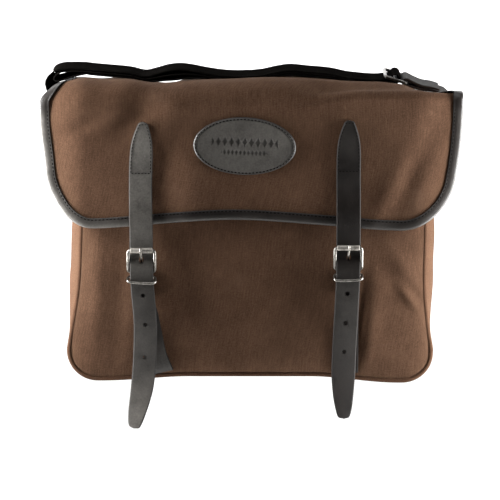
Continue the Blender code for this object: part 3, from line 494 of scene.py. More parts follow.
def wire(name, points, radius, step=0.0006, closed=False):
    """A round wire along a smooth curve through points, with rounded tips, or a closed loop of it."""
    points = np.array(points, float)
    if closed:
        loop = resample(np.vstack([points[-2:], points, points[:2]]), step)
        away, middle = np.linalg.norm(loop - points[0], axis=1), len(loop) // 2
        path = loop[int(np.argmin(away[:middle])) : middle + int(np.argmin(away[middle:]))]
        tangent = unit(np.roll(path, -1, axis=0) - np.roll(path, 1, axis=0))
    else:
        path = resample(points, step)
        tangent = unit(np.gradient(path, axis=0))
    across = unit(np.cross(tangent, np.eye(3)[int(np.argmin(np.ptp(path, axis=0)))]))
    a = circle(12)[:, None]
    ring = across[:, None] * np.cos(a) + np.cross(across, tangent)[:, None] * np.sin(a)
    if closed:
        quads = grid_quads(len(path), 12, wrap=True, close=True)
        return face_out(make_mesh(name, path[:, None] + ring * radius, quads))
    reach = run_length(path)
    tip = np.minimum(np.minimum(reach, reach[-1] - reach) / radius, 1)
    size = radius * np.sqrt(np.clip(1 - (1 - tip) ** 2, 0.02, 1))
    return tube(name, path[:, None] + ring * size[:, None, None])


# Shader recipes


def maths(operation, swapped=False):
    """A method that joins a value and the numbers or values given to it by one Math node."""

    def method(self, *others):
        values = (*others, self) if swapped else (self, *others)
        return self.recipe.node("ShaderNodeMath", {"operation": operation}, *values)

    return method


class Value:
    """One output of a shader node. Sums and products of values add their Math nodes."""

    __add__ = __radd__ = maths("ADD")
    __mul__ = __rmul__ = maths("MULTIPLY")
    __sub__, __rsub__ = maths("SUBTRACT"), maths("SUBTRACT", swapped=True)
    __truediv__ = maths("DIVIDE")
    sin, size, above = maths("SINE"), maths("ABSOLUTE"), maths("GREATER_THAN")

    def __init__(self, recipe, socket):
        self.recipe, self.socket = recipe, socket

    def within(self, low, high):
        """0 at low, 1 at high, and a smooth step between."""
        settings = {"interpolation_type": "SMOOTHSTEP"}
        return self.recipe.node("ShaderNodeMapRange", settings, self, low, high, 0.0, 1.0)


class Recipe:
    """A material being made from one Principled BSDF."""

    def __init__(self, name, **constants):
        self.material = bpy.data.materials.new(name)
        self.material.use_nodes = True
        self.tree = self.material.node_tree
        self.shader = self.tree.nodes["Principled BSDF"]
        for socket, value in constants.items():
            self.shader.inputs[socket.replace("_", " ")].default_value = value
        self.place = self.node("ShaderNodeTexCoord", {}, output="Object")

    def node(self, kind, settings, *inputs, output=0, **named):
        made = self.tree.nodes.new(kind)
        for key, value in settings.items():
            setattr(made, key, value)
        for key, value in [*enumerate(inputs), *[(k.replace("_", " "), v) for k, v in named.items()]]:
            self.feed(made.inputs[key], value)
        return Value(self, made.outputs[output])

    def feed(self, socket, value):
        if isinstance(value, Value):
            self.tree.links.new(value.socket, socket)
        elif value is not None:
            socket.default_value = value

    def noise(self, where, scale, detail=3.0, roughness=0.55):
        settings = {"Scale": scale, "Detail": detail, "Roughness": roughness}
        return self.node("ShaderNodeTexNoise", {}, Vector=where, **settings)

    def stretched(self, where, scales):
        """Noise on places multiplied by one scale for each axis."""
        spread = self.node("ShaderNodeVectorMath", {"operation": "MULTIPLY"}, where, scales)
        return self.noise(spread, 1.0, 2.0)

    def mix(self, factor, first, second):
        """A colour between two colours."""
        first, second = [(*c, 1.0) if isinstance(c, tuple) else c for c in (first, second)]
        unused = [None] * 5
        return self.node("ShaderNodeMix", {"data_type": "RGBA"}, factor, *unused, first, second, output=2)

    def uv(self):
        """The piece's own cloth coordinates in metres: the pair, and each alone."""
        pair = self.node("ShaderNodeUVMap", {"uv_map": "cloth"})
        return pair, *[self.node("ShaderNodeSeparateXYZ", {}, pair, output=k) for k in (0, 1)]

    def attribute(self, name):
        return self.node("ShaderNodeAttribute", {"attribute_name": name}, output="Fac")

    def finish(self, colour=None, roughness=None, height=None, distance=0.001, strength=1.0):
        """Feeds the shader's colour, roughness and bump."""
        self.feed(self.shader.inputs["Base Color"], colour)
        self.feed(self.shader.inputs["Roughness"], roughness)
        if height is not None:
            settings = {"Strength": strength, "Distance": distance, "Height": height}
            bump = self.node("ShaderNodeBump", {}, output="Normal", **settings)
            self.feed(self.shader.inputs["Normal"], bump)
        return self.material


def canvas_recipe(name, dark, light, worn):
    """Waxed cotton canvas: threads over and under each other, uneven yarns, rubbed places and a dry sheen."""
    r = Recipe(name, Specular_IOR_Level=0.03, Sheen_Weight=0.06, Sheen_Roughness=0.5)
    r.shader.inputs["Sheen Tint"].default_value = (0.85, 0.68, 0.55, 1.0)
    pair, across, along = r.uv()
    pitch = math.pi / 0.00062
    warp, weft = (across * pitch).sin(), (along * pitch).sin()
    over = (warp * weft).above(0.0)
    threads = over * warp.size() + (1 - over) * weft.size()
    slub_across = r.stretched(pair, (190.0, 1500.0, 1.0))
    slub_along = r.stretched(pair, (1150.0, 110.0, 1.0))
    bars = r.stretched(pair, (430.0, 24.0, 1.0))
    slubs = slub_across * 0.35 + slub_along * 0.45 + bars * 0.2
    rib = (across * (2 * math.pi / 0.0028) + bars * 3.0).sin()
    mottle = r.noise(r.place, 38.0, 4.0, 0.6)
    fade = r.noise(r.place, 9.0, 3.0, 0.55)
    fleck = r.noise(pair, 900.0, 2.0)
    tone = (slubs - 0.5) * 1.3 + rib * 0.03 + (mottle - 0.5) * 0.35 + (fade - 0.5) * 0.45
    tone = tone + (fleck - 0.5) * 0.8 + 0.42
    base = r.mix(tone.within(0.0, 1.0), dark, light)
    rubbed = r.noise(r.place, 22.0, 5.0, 0.62).within(0.60, 0.80) * 0.25
    base = r.mix(rubbed, base, worn)
    height = threads * 0.35 + slubs * 1.2 + mottle * 0.5
    return r.finish(base, 0.80 + (slubs - 0.5) * 0.15, height, 0.0006, 0.55)


def leather_recipe(name, dark, light, raw, gloss, shine):
    """Bridle leather: pebbled grain, strain lines, a grey wax bloom mixed with painted sheen where the pieces
    set it, and raw cut edges.
    """
    r = Recipe(name, Specular_IOR_Level=shine)
    settings = {"feature": "SMOOTH_F1"}
    cells = r.node("ShaderNodeTexVoronoi", settings, Vector=r.place, Scale=1050.0, Smoothness=0.6)
    grain = r.noise(r.place, 620.0, 3.0, 0.6)
    broad = r.noise(r.place, 30.0, 4.0, 0.55)
    crease = r.noise(r.place, 170.0, 5.0, 0.68)
    tone = (broad - 0.5) * 1.3 + (crease - 0.5) * 0.7 + (grain - 0.5) * 0.35 + 0.45
    base = r.mix(tone.within(0.0, 1.0), dark, light)
    speckle = (broad - 0.5) * 1.2 + (crease - 0.5) * 0.8 + (grain - 0.5) * 0.9
    # Grey wax bloom and painted sheen: each piece lays on lighter grey, most where the side lamps' highlights
    # fall
    base = r.mix(r.attribute("bloom") * (0.75 + speckle), base, (0.155, 0.145, 0.130))
    edge = r.attribute("edge")
    fibre = r.noise(r.place, 800.0, 3.0)
    cut = (edge + (fibre - 0.5) * 0.5).within(0.35, 0.75)
    base = r.mix(cut, base, raw)
    height = cells * 0.35 + grain * 0.35 + crease * 0.5
    rough = gloss + (broad - 0.5) * 0.22 + (crease - 0.5) * 0.15 + cut * 0.55
    return r.finish(base, rough, height, 0.00035, 0.6)


def webbing_recipe():
    """Black woven webbing: ribs across it, with every other column half a rib on, and dusty raised yarns."""
    r = Recipe("black webbing", Specular_IOR_Level=0.0)
    pair, across, along = r.uv()
    column = (across * (math.pi / 0.0011)).sin()
    shift = column.above(0.0) * 0.5
    rib = ((along / 0.0017 + shift) * (2 * math.pi)).sin()
    yarn = r.stretched(pair, (1800.0, 500.0, 1.0))
    dust = r.noise(r.place, 60.0, 4.0, 0.6)
    height = (rib * 0.5 + 0.5) * column.size()
    tone = height * 0.5 + (yarn - 0.5) * 0.8 + (dust - 0.5) * 0.7 + 0.1
    base = r.mix(tone.within(0.0, 1.2), (0.0035, 0.0032, 0.0029), (0.0190, 0.0172, 0.0160))
    return r.finish(base, 0.72 + (yarn - 0.5) * 0.2, height + yarn * 0.4, 0.0005, 0.7)


def metal_recipe(name, bright, dull, gloss=0.24):
    """Nickel plate: bright, with fine rubbed scratches and a warmer dulled film in patches."""
    r = Recipe(name, Metallic=1.0)
    film = r.noise(r.place, 260.0, 4.0, 0.6)
    scratch = r.stretched(r.place, (900.0, 5200.0, 2600.0))
    base = r.mix(film.within(0.38, 0.70), bright, dull)
    rough = gloss + film * 0.18 + (scratch - 0.5) * 0.12
    return r.finish(base, rough, film * 0.5 + scratch * 0.3, 0.0002, 0.25)


def thread_recipe():
    """Waxed dark thread with a faint twist."""
    r = Recipe("waxed thread", Specular_IOR_Level=0.15)
    twist = r.noise(r.place, 2600.0, 2.0)
    base = r.mix(twist, (0.0015, 0.0013, 0.0012), (0.010, 0.008, 0.007))
    return r.finish(base, 0.8 + twist * 0.2, twist, 0.0002, 0.4)


def plain_recipe(name, colour, roughness):
    """The studio's floor and backdrop."""
    r = Recipe(name, Roughness=roughness, Specular_IOR_Level=0.1)
    r.shader.inputs["Base Color"].default_value = (*colour, 1.0)
    return r.material


# Cloth: dark, light and worn tones. Leather: dark, light and cut edge tones, roughness and shine
CLOTH = canvas_recipe("brown canvas", (0.052, 0.0264, 0.0152), (0.136, 0.0755, 0.046), (0.21, 0.128, 0.085))
PIPED = canvas_recipe("brown piping", (0.050, 0.025, 0.0145), (0.118, 0.063, 0.038), (0.18, 0.108, 0.069))
HIDE = ((0.0048, 0.0032, 0.0024), (0.014, 0.0096, 0.0074))
OLD_HIDE = ((0.0060, 0.0045, 0.0040), (0.016, 0.012, 0.010))
LEATHER = leather_recipe("dark leather", *HIDE, (0.0075, 0.0048, 0.0036), 0.40, 0.6)
ANCHOR_LEATHER = leather_recipe("soft leather", *HIDE, (0.0060, 0.0040, 0.0030), 0.52, 0.25)
TAB_LEATHER = leather_recipe("tab leather", *OLD_HIDE, (0.012, 0.0075, 0.0055), 0.70, 0.1)
WEB = webbing_recipe()
NICKEL = metal_recipe("nickel plate", (0.31, 0.295, 0.27), (0.10, 0.092, 0.08))
SATIN_NICKEL = metal_recipe("satin nickel plate", (0.42, 0.395, 0.36), (0.20, 0.185, 0.16), 0.50)
# A darker copy of the nickel for the slider: painted shade, for the slider lying in shadow under the webbing
SHADED_NICKEL = metal_recipe("shaded nickel plate", (0.15, 0.142, 0.13), (0.05, 0.045, 0.04))
THREAD = thread_recipe()


def dress(made, finish, slot, *nodes):
    """Gives a piece its finish and its place on the bag, in the stead of the coarse solids it stands for."""
    made.data.materials.clear()
    made.data.materials.append(finish)
    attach(made, "root")
    if nodes:
        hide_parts(*nodes)


def sew(name, lines, length=0.0023, radius=0.00055):
    """Rows of stitches: each is an ellipsoid lying along its seam, sunk a little into what it holds.

    A line is a path, the upward direction there, and the pitch of its stitches."""
    rows = []
    for path, upward, pitch in lines:
        reach = run_length(path)
        count = max(int(round(reach[-1] / pitch)), 1)
        at = (np.arange(count) + 0.5) * reach[-1] / count
        fields = (path, np.gradient(path, axis=0), np.broadcast_to(upward, path.shape))
        rows.append([read_along(at, reach, field) for field in fields])
    spots, along, up = [np.vstack(parts) for parts in zip(*rows)]
    along, up = unit(along)[:, None], unit(up)[:, None]
    a, b = np.meshgrid(np.linspace(-QUARTER, QUARTER, 7), circle(8), indexing="ij")
    a, b = a.reshape(-1, 1), b.reshape(-1, 1)
    points = spots[:, None] + up * radius * (0.25 + np.cos(a) * np.sin(b)) + along * np.sin(a) * length / 2
    points = points + np.cross(up, along) * np.cos(a) * np.cos(b) * radius
    quads = grid_quads(7, 8, wrap=True) + (np.arange(len(spots)) * len(a))[:, None, None]
    dress(face_out(make_mesh(name, points, quads.reshape(-1, 4))), THREAD, "leather")


# The body of the bag


def panel(name, outward, corner_steps, base_steps, rows):
    """A panel on a grid whose columns rise from its base seam to the mouth.

    Its face stands out from the seam by 1 - exp(-d / 9 mm) of its full depth, where d joins the distances to
    the side and base seams as 1 / sqrt(1 / side^2 + 1 / base^2)."""
    foot_x, foot_z = seam_path(PANEL_INSET, 0, corner_steps, base_steps)[::-outward].T
    side = np.sign(foot_x)
    z = foot_z + (MOUTH - foot_z) * np.linspace(0, 1, rows)[:, None]
    half = by_side(SEAM, np.maximum(z, CORNER), side) - PANEL_INSET
    x = foot_x / (by_side(SEAM, CORNER, side) - PANEL_INSET) * half
    from_side, from_base = np.maximum(half - np.abs(x), 0) + 1e-6, np.maximum(z - foot_z, 0) + 1e-6
    roll = roll_from_edge(1 / np.sqrt(1 / from_side**2 + 1 / from_base**2))
    if outward < 0:
        full = -front_face(x, z) - seam_half_depth(z) + fold_rise(BODY_FOLDS, x, z)
        full = full + 0.0006 * ripple(x, z, 3, 7, 0.05, 0.14)
    else:
        full = BACK_ROLL + 0.0012 * ripple(x, z, 5, 6, 0.08, 0.2)
    # The edge meets the cord high up the sides and lower along the base, where a darker line is left
    start = PANEL_START - PANEL_START_DROP * ease(0.045, 0.015, z)
    y = outward * (seam_half_depth(z) + start + roll * (full - start))
    dress(cloth(name, joined(x, y, z)), CLOTH, "canvas", name)


def gusset():
    """The strip between the seams: straight across the base, and bowed out by 1 - |w|^3 up the sides.

    w runs from 1 at the back seam to -1 at the front one."""
    path = seam_path(0.0, 70, 14, 70)
    x, z = path.T
    heading_x, heading_z = unit(np.gradient(path, axis=0)).T
    w = 1 - 2 * np.linspace(0, 1, 29)[:, None]
    y = (seam_half_depth(z) - GUSSET_INSET) * w
    bow = GUSSET_BULGE * (1 - np.abs(w) ** 3) * ease(0.020, 0.090, z)
    out = GUSSET_START + bow + 0.0007 * ripple(y * 1.5, z, 8, 6, 0.03, 0.09) * (1 - w**2)
    points = joined(x + heading_z * out, y, z - heading_x * out)
    made = cloth("gusset", points, joined(run_length(points, 0), run_length(points, 1)))
    dress(made, CLOTH, "canvas", "gusset")


def piping(name, outward):
    """The covered cord in a piped seam."""
    x, z = seam_path(0.0, 90, 22, 110).T
    points = joined(x, outward * seam_half_depth(z), z)
    section = round_section(PIPING_RADIUS, 14)
    made = sweep(name, points, *frame_along(points, BACKWARD), PIPING_RADIUS, section)
    dress(made, PIPED, "piping", name)


# The flap


def crease_height(x):
    """Height of the flap's sharp front crease: its ears hang lower."""
    return CREASE_HEIGHT - np.where(x < 0, EAR_DROP[LEFT], EAR_DROP[RIGHT]) * ease(0.140, 0.190, np.abs(x))


def flap_front_y(x, z):
    """Y of the flap's outer face down the front: it follows the body, and its ears curl back."""
    curl = 0.009 * ease(0.150, 0.196, np.abs(x))
    return front_face(x, z) - STANDOFF + curl - fold_rise(FLAP_FOLDS, x, z)


def flap_grid(columns, rows):
    """The flap's outer face on a grid, from its lower edge up the front, over the top and down to the back.

    Two fifths of the columns on each side turn round the lower corner as a quarter of an ellipse. rows gives
    the cells up the front, round the crease, along the top, round the back edge and down the back."""
    c = np.linspace(-1, 1, columns + 1)[None]
    v = np.linspace(0, 1, sum(rows) + 1)[:, None]
    side = np.where(c < 0, LEFT, RIGHT)
    half = by_side(FLAP_SIDE, 0.16, side)
    round_x, round_z = [np.where(side < 0, *pair) for pair in zip(FLAP_CORNER[LEFT], FLAP_CORNER[RIGHT])]
    turn = np.clip((np.abs(c) - 0.6) / 0.4, 0, 1) * QUARTER
    low_x = side * (np.minimum(np.abs(c) / 0.6, 1) * (half - round_x) + round_x * np.sin(turn))
    unit_x = low_x / half
    low = read_table(FLAP_EDGE, 1, low_x) + round_z * (1 - np.cos(turn))
    marks = np.concatenate([[0], np.cumsum(rows)]) / sum(rows)
    front, crease, top, back_turn, back = [np.clip((v - a) / (b - a), 0, 1) for a, b in zip(marks, marks[1:])]
    top = top**1.35
    # 1 over the left and middle, where the cloth bends over softly, and 0 at the sharper right end
    soft = ease(0.100, 0.030, unit_x * FLAP_HALF)
    turn_z = crease_height(unit_x * FLAP_HALF) - FRONT_ROUND - SOFT_DROP * soft
    z_front = low + (turn_z - low) * front
    half = by_side(FLAP_SIDE, z_front, side)
    narrow = np.where(side < 0, 2.5, 3.4) * top
    x = unit_x * (BACK_HALF + (half - BACK_HALF) * np.exp(-(narrow**1.8)))
    y_turn = flap_front_y(x, turn_z)
    crown, rising = read_table(CROWN, 1, x), np.clip(top / CROWN_SHARE, 0, 1)
    # The sharp shoulder is a small round and a gentle rise, the soft one a quarter of an ellipse
    a, b = crease * QUARTER, (0.45 * crease + 0.55 * rising) * QUARTER
    sharp_y = y_turn + FRONT_ROUND * (1 - np.cos(a)) + (CROWN_Y - y_turn - FRONT_ROUND) * rising
    sharp_z = turn_z + FRONT_ROUND * np.sin(a) + (crown - turn_z - FRONT_ROUND) * ease(0.0, 1.0, rising)
    soft_y = y_turn + (CROWN_Y - y_turn) * (1 - np.cos(b))
    soft_z = turn_z + (crown - turn_z) * np.sin(b)
    y_crease, z_crease = sharp_y + (soft_y - sharp_y) * soft, sharp_z + (soft_z - sharp_z) * soft
    y_back = seam_half_depth(BACK_SEAM) + BACK_ROLL + GAP + CANVAS
    end_y = y_back - BACK_ROUND
    level, falling = read_table(TOP, 1, x), np.clip((top - CROWN_SHARE) / (1 - CROWN_SHARE), 0, 1)
    y_top = y_crease + (end_y - CROWN_Y) * falling
    z_top = z_crease + (level - crown) * ease(0.0, 0.32, falling)
    z_top = z_top + 0.0004 * ripple(x, y_top, 12, 6, 0.04, 0.10) * np.sin(math.pi * top)
    b = back_turn * QUARTER
    y_rear, z_rear = end_y + BACK_ROUND * np.sin(b), level - BACK_ROUND * (1 - np.cos(b))
    z_back = level - BACK_ROUND + (BACK_SEAM - level + BACK_ROUND) * back
    y, z = flap_front_y(x, z_front), z_front
    later = [(y_crease, z_crease), (y_top, z_top), (y_rear, z_rear), (y_back, z_back)]
    for mark, (later_y, later_z) in zip(marks[1:], later):
        y = np.where(v > mark + 1e-6, later_y, y)
        z = np.where(v > mark + 1e-6, later_z, z)
    return joined(x, y, z)


def flap_rim(grid):
    """The middle of the flap's free edge, with its outward direction in the cloth and the cloth's normal."""
    normals = unit(np.cross(np.gradient(grid, axis=1), np.gradient(grid, axis=0)))
    points, normal = [np.concatenate([a[::-1, 0], a[0, 1:-1], a[:, -1]]) for a in (grid, normals)]
    points = points - normal * CANVAS / 2
    reach = run_length(points)
    even = np.linspace(0, reach[-1], int(reach[-1] / 0.00085))
    points = smooth_rows(read_along(even, reach, points), 6)
    normal = smooth_rows(read_along(even, reach, normal), 40)
    tangent = unit(np.gradient(points, axis=0))
    outward = unit(smooth_rows(unit(np.cross(tangent, normal)), 30))
    normal = unit(normal - outward * np.sum(normal * outward, axis=1, keepdims=True))
    return points, outward, normal, even


def binding(grid):
    """Leather folded round the flap's free edge: a bead at the fold, and two legs nipped in at the seam."""
    points, outward, normal, reach = flap_rim(grid)
    gap, wall, leg = 0.0012, 0.0012, BINDING_WIDTH - 0.0026
    bead = gap + wall
    front = [(-leg, gap + 0.0001), (-leg - 0.0001, gap + 0.0008), (-leg + 0.0006, bead - 0.0001)]
    front += [(-leg + 0.0016, bead - 0.0003), (-leg + 0.0026, bead), (-0.0020, bead + 0.0002)]
    turn = np.linspace(QUARTER, -QUARTER, 9)
    fold = [(0.0006 + bead * 0.95 * math.cos(t), bead * 1.06 * math.sin(t)) for t in turn]
    back = [(o, -n) for o, n in front[::-1]]
    inside = [(-leg + 0.001, -gap), (0.0004, -gap), (gap, -gap * 0.5), (gap, gap * 0.5), (0.0004, gap)]
    profile = np.array(front + fold + back + inside + [(-leg + 0.001, gap)])
    fold_start, fold_end = len(front), len(front + fold)
    back_end = fold_end + len(back)
    edge = np.zeros(len(profile))
    edge[[0, 1, back_end - 2, back_end - 1]] = 0.8
    lift = np.tile(profile[:, 1], (len(reach), 1))
    stitch = 0.5 + 0.5 * np.cos(2 * math.pi * reach / STITCH_PITCH)
    for index in (3, fold_end + 2):
        lift[:, index] -= np.sign(profile[index, 1]) * 0.0003 * stitch
    x, y, z = points.T
    ear = 0.0012 * bell(y, -0.030, 0.010) * ease(0.240, 0.250, z) * (np.abs(x) > 0.15)
    lift = lift + np.sign(lift) * ear[:, None]
    rings = points[:, None] + outward[:, None] * profile[:, :1] + normal[:, None] * lift[..., None]
    around = run_length(np.vstack([profile, profile[:1]]))
    # The wax bloom and painted highlight lie on the legs at the ends and on the fold, more at the left, on
    # the side of the left lamp, and fade at the top
    legs = np.where(x < 0, 0.30, 0.06) * ease(0.06, 0.15, np.abs(x))
    on_fold = np.zeros(len(profile))
    on_fold[fold_start:fold_end] = 1.0
    bloom = legs[:, None] + on_fold * (0.10 + 0.30 * ease(0.02, -0.09, x))[:, None]
    bloom = bloom * ease(0.250, 0.236, z)[:, None]
    edge = np.tile(edge, (len(points), 1))
    made = tube("flap_binding", rings, around, reach, edge=edge, bloom=bloom)
    dress(made, LEATHER, "leather", "flap_binding")
    inset = points - outward * (leg - 0.0016)
    for label, sign in (("front", 1), ("back", -1)):
        line = inset + normal * sign * (bead - 0.0004)
        sew(f"binding_stitches_{label}", [(line, normal * sign, STITCH_PITCH)])


def on_badge(s, t):
    """X and Z of a place on the badge, given along and across its tilted oval."""
    cos, sin = math.cos(BADGE_TILT), math.sin(BADGE_TILT)
    return BADGE_CENTRE[0] + s * cos - t * sin, BADGE_CENTRE[1] + s * sin + t * cos


def badge():
    """Oval patch: rings from its middle to its rounded edge, with a sewn groove and tooled lozenges."""
    count = 240
    rings = np.concatenate([np.linspace(0, 0.86, 60), np.linspace(0.868, 1.0, 22)])
    r, a = np.meshgrid(rings, circle(count), indexing="ij")
    s, t = r * np.cos(a) * BADGE_HALF[0], r * np.sin(a) * BADGE_HALF[1]
    inward, pressed = (1 - r) * BADGE_HALF[1], tooling(s, t)
    lift = 0.0020 - 0.0012 * np.clip(1 - inward / 0.0009, 0, 1) ** 2
    lift = lift - 0.00035 * bell(inward, BADGE_STITCH_INSET, 0.00045) - 0.00040 * pressed
    x, z = on_badge(s, t)
    under = flap_front_y(x, z)
    top = joined(x, under - GAP - lift, z)
    skirt = joined(x[-1], under[-1] - GAP * 0.5, z[-1])
    # The rings but for the middle one, the skirt, and last the middle point
    flat = np.vstack([top[1:].reshape(-1, 3), skirt, top[0, 0]])
    rows, middle = len(rings), len(flat) - 1
    caps = [(middle, (k + 1) % count, k) for k in range(count)] + [(rows - 1) * count + np.arange(count)]
    # Painted shade and painted sheen: the grey bloom on the badge is taken off in the tooled marks, in the
    # stitch groove and towards the rim, so these read darker
    shade = (1 - 0.7 * pressed) * (1 - 0.35 * bell(inward, BADGE_STITCH_INSET, 0.0005))
    shade = (shade * (0.1 + 0.9 * ease(0.0003, 0.0014, inward)))[1:].ravel()
    bloom, edge = np.zeros(len(flat)), np.zeros(len(flat))
    bloom[: len(shade)] = 0.62 * shade
    edge[(rows - 4) * count : (rows - 2) * count] = 0.25
    edge[(rows - 2) * count : -1] = 1.0
    made = make_mesh("badge", flat, grid_quads(rows, count, wrap=True), None, caps, edge=edge, bloom=bloom)
    dress(face_out(made), LEATHER, "leather", "badge")
    line = np.linspace(0, 2 * math.pi, 400)
    half_s, half_t = np.array(BADGE_HALF) - BADGE_STITCH_INSET
    x, z = on_badge(half_s * np.cos(line), half_t * np.sin(line))
    path = joined(x, flap_front_y(x, z) - GAP - 0.0017, z)
    sew("badge_stitches", [(path, FORWARD, 0.0032)], 0.0022)


def tooling(s, t):
    """Depth of the marks pressed into the badge: two rows of small lozenges, the lower one shorter."""
    depth = np.zeros_like(s)
    for middle, half_row, size in ((0.0038, 0.0300, 0.0050), (-0.0056, 0.0210, 0.0030)):
        pitch = size * 1.20
        cell = np.abs((s / pitch + 0.5) % 1.0 - 0.5) * pitch
        shape = 1 - (cell / (size * 0.60) + np.abs(t - middle) / size)
        depth = np.maximum(depth, ease(0.0, 0.35, shape) * (np.abs(s) < half_row))
    return depth


# Leather straps


def strap_centre(rows, side, z):
    """Centre line of a closing strap or an anchor strap at some heights."""
    x = by_side(rows, z, side)
    return joined(x, front_face(x, z) - read_table(rows, 3, z), z)


def cut_holes(made, cutters):
    """Cuts round or stretched holes through a strap: one set of cylinders is taken away from it."""
    points, quads, caps = [], [], []
    a, k = circle(20), np.arange(20)
    for index, (spot, radius, stretch) in enumerate(cutters):
        for y in (-0.006, 0.006):
            points.append(spot + joined(radius * np.cos(a), y, radius * stretch * np.sin(a)))
        start = index * 40
        quads.append(start + grid_quads(2, 20, wrap=True))
        caps += [start + k[::-1], start + 20 + k]
    cutter = face_out(make_mesh("punch", np.concatenate(points), np.concatenate(quads), None, caps))
    cut = made.modifiers.new("Holes", "BOOLEAN")
    cut.operation, cut.object = "DIFFERENCE", cutter
    graph = bpy.context.evaluated_depsgraph_get()
    mesh = bpy.data.meshes.new_from_object(made.evaluated_get(graph))
    made.modifiers.remove(cut)
    old, made.data = made.data, mesh
    bpy.data.meshes.remove(old)
    bpy.data.objects.remove(cutter)
    made.data.set_sharp_from_angle(angle=math.radians(50))


def closing_strap(side):
    """A strap sewn to the flap, through the buckle and hanging free: its half width follows two tables."""
    top, tip, name = STRAP_TOP[side], STRAP_TIP[side], SIDE_NAME[side]
    ends = np.array([0, 0.0003, 0.0006, 0.001, 0.0016, 0.0024, 0.0034, 0.0048, 0.0064])
    z = np.unique(np.concatenate([tip + ends, np.arange(tip + 0.008, top - 0.008, 0.0016), top - ends]))
    path = strap_centre(STRAP, side, z)
    half = STRAP_HALF[side] * np.minimum(read_table(SEWN_END, 1, top - z), read_table(FREE_END, 1, z - tip))
    twist = side * read_table(STRAP_CURL, 1, z)[:, None]
    cos, sin = np.cos(twist), np.sin(twist)
    across, face = frame_along(path, ACROSS)
    across, face = across * cos - face * sin, face * cos + across * sin
    section, edge = ribbon_section(STRAP_THICKNESS, 0.0009, 0.00018)
    # Painted sheen and wax bloom down the strap, read from the table by height
    bloom = by_side(STRAP_BLOOM_AND_PAINTED_SHEEN, z, side)
    made = sweep(name + "_closing_strap", path, across, face, half, section, edge, bloom)
    # The round holes, and the one worn long by the prong
    holes = [(height, 0.0018, 1.0) for height in HOLES[side]] + [(BAR_HEIGHT[side] + 0.0122, 0.0019, 1.7)]
    cut_holes(made, [(strap_centre(STRAP, side, height), *shape) for height, *shape in holes])
    dress(made, LEATHER, "leather", name + "_closing_strap")
    # Stitching round the sewn end, 1.7 mm inside the edge, and one row across
    zs = np.linspace(STITCHED_FROM[side], top - 0.0022, 80)
    inner = joined(np.interp(zs, z, half) - 0.0017, 0, 0)
    spine = strap_centre(STRAP, side, zs) - [0, STRAP_THICKNESS / 2 + 0.0001, 0]
    loop = np.vstack([spine - inner, (spine + inner)[::-1]])
    row = spine[0] - [0, 0.0001, 0] + np.linspace(-1, 1, 12)[:, None] * inner[0]
    sew(name + "_strap_stitches", [(loop, FORWARD, 0.0031), (row, FORWARD, 0.0029)], 0.0021, 0.00038)


def anchor_strap(side):
    """A strap up the front panel, over the buckle's lower bar and down behind itself."""
    bar, height, name = bar_middle(side), BAR_HEIGHT[side], SIDE_NAME[side] + "_anchor_strap"
    z = np.arange(0.005, height - 0.004, 0.0016)
    rising = strap_centre(ANCHOR, side, z)
    rising[:, 1] += front_skin(rising[:, 0], z) - front_face(rising[:, 0], z)
    a = np.linspace(0, math.pi, 15)
    over = bar + BAR_BEND * joined(0, -np.cos(a), np.sin(a))
    z_down = np.arange(height - 0.0016, height - 0.024, -0.0016)
    x = by_side(ANCHOR, z_down, side)
    down = joined(x, front_face(x, z_down) - (2 * BAR_STANDOFF - 0.0075), z_down)
    path = np.vstack([rising, over, down])
    rest = (0, len(path) - len(z))
    half = 0.0099 + 0.0010 * np.pad(ease(0.06, 0.0, z), rest)
    # Painted sheen and wax bloom: lighter grey only on the left anchor strap, near its foot
    bloom = np.pad(0.22 * (side < 0) * ease(0.045, 0.020, z), rest)
    section, edge = ribbon_section(0.0022, 0.0008, 0.0)
    made = sweep(name, path, *frame_along(path, ACROSS), half, section, edge, bloom)
    cut_holes(made, [(bar + [0, 0, 0.0005], 0.0019, 2.6)])
    dress(made, ANCHOR_LEATHER, "leather", name)


def bar_middle(side):
    """Centre of the buckle's lower bar, which the anchor strap is folded round."""
    x, z = BAR_X[side], BAR_HEIGHT[side]
    return np.array([x, front_face(x, z) - BAR_STANDOFF, z])


def rounded_loop(half_x, half_y, radius, count):
    """Evenly spaced points round a rectangle with rounded corners."""
    a = (np.arange(4)[:, None] * QUARTER + np.linspace(0, QUARTER, 7)).ravel()
    corner = np.repeat([(1, 1), (-1, 1), (-1, -1), (1, -1)], 7, axis=0)
    loop = corner * (half_x - radius, half_y - radius) + radius * joined(np.cos(a), np.sin(a))
    closed = np.vstack([loop, loop[:1]])
    reach = run_length(closed)
    return read_along(np.linspace(0, reach[-1], count, endpoint=False), reach, closed)


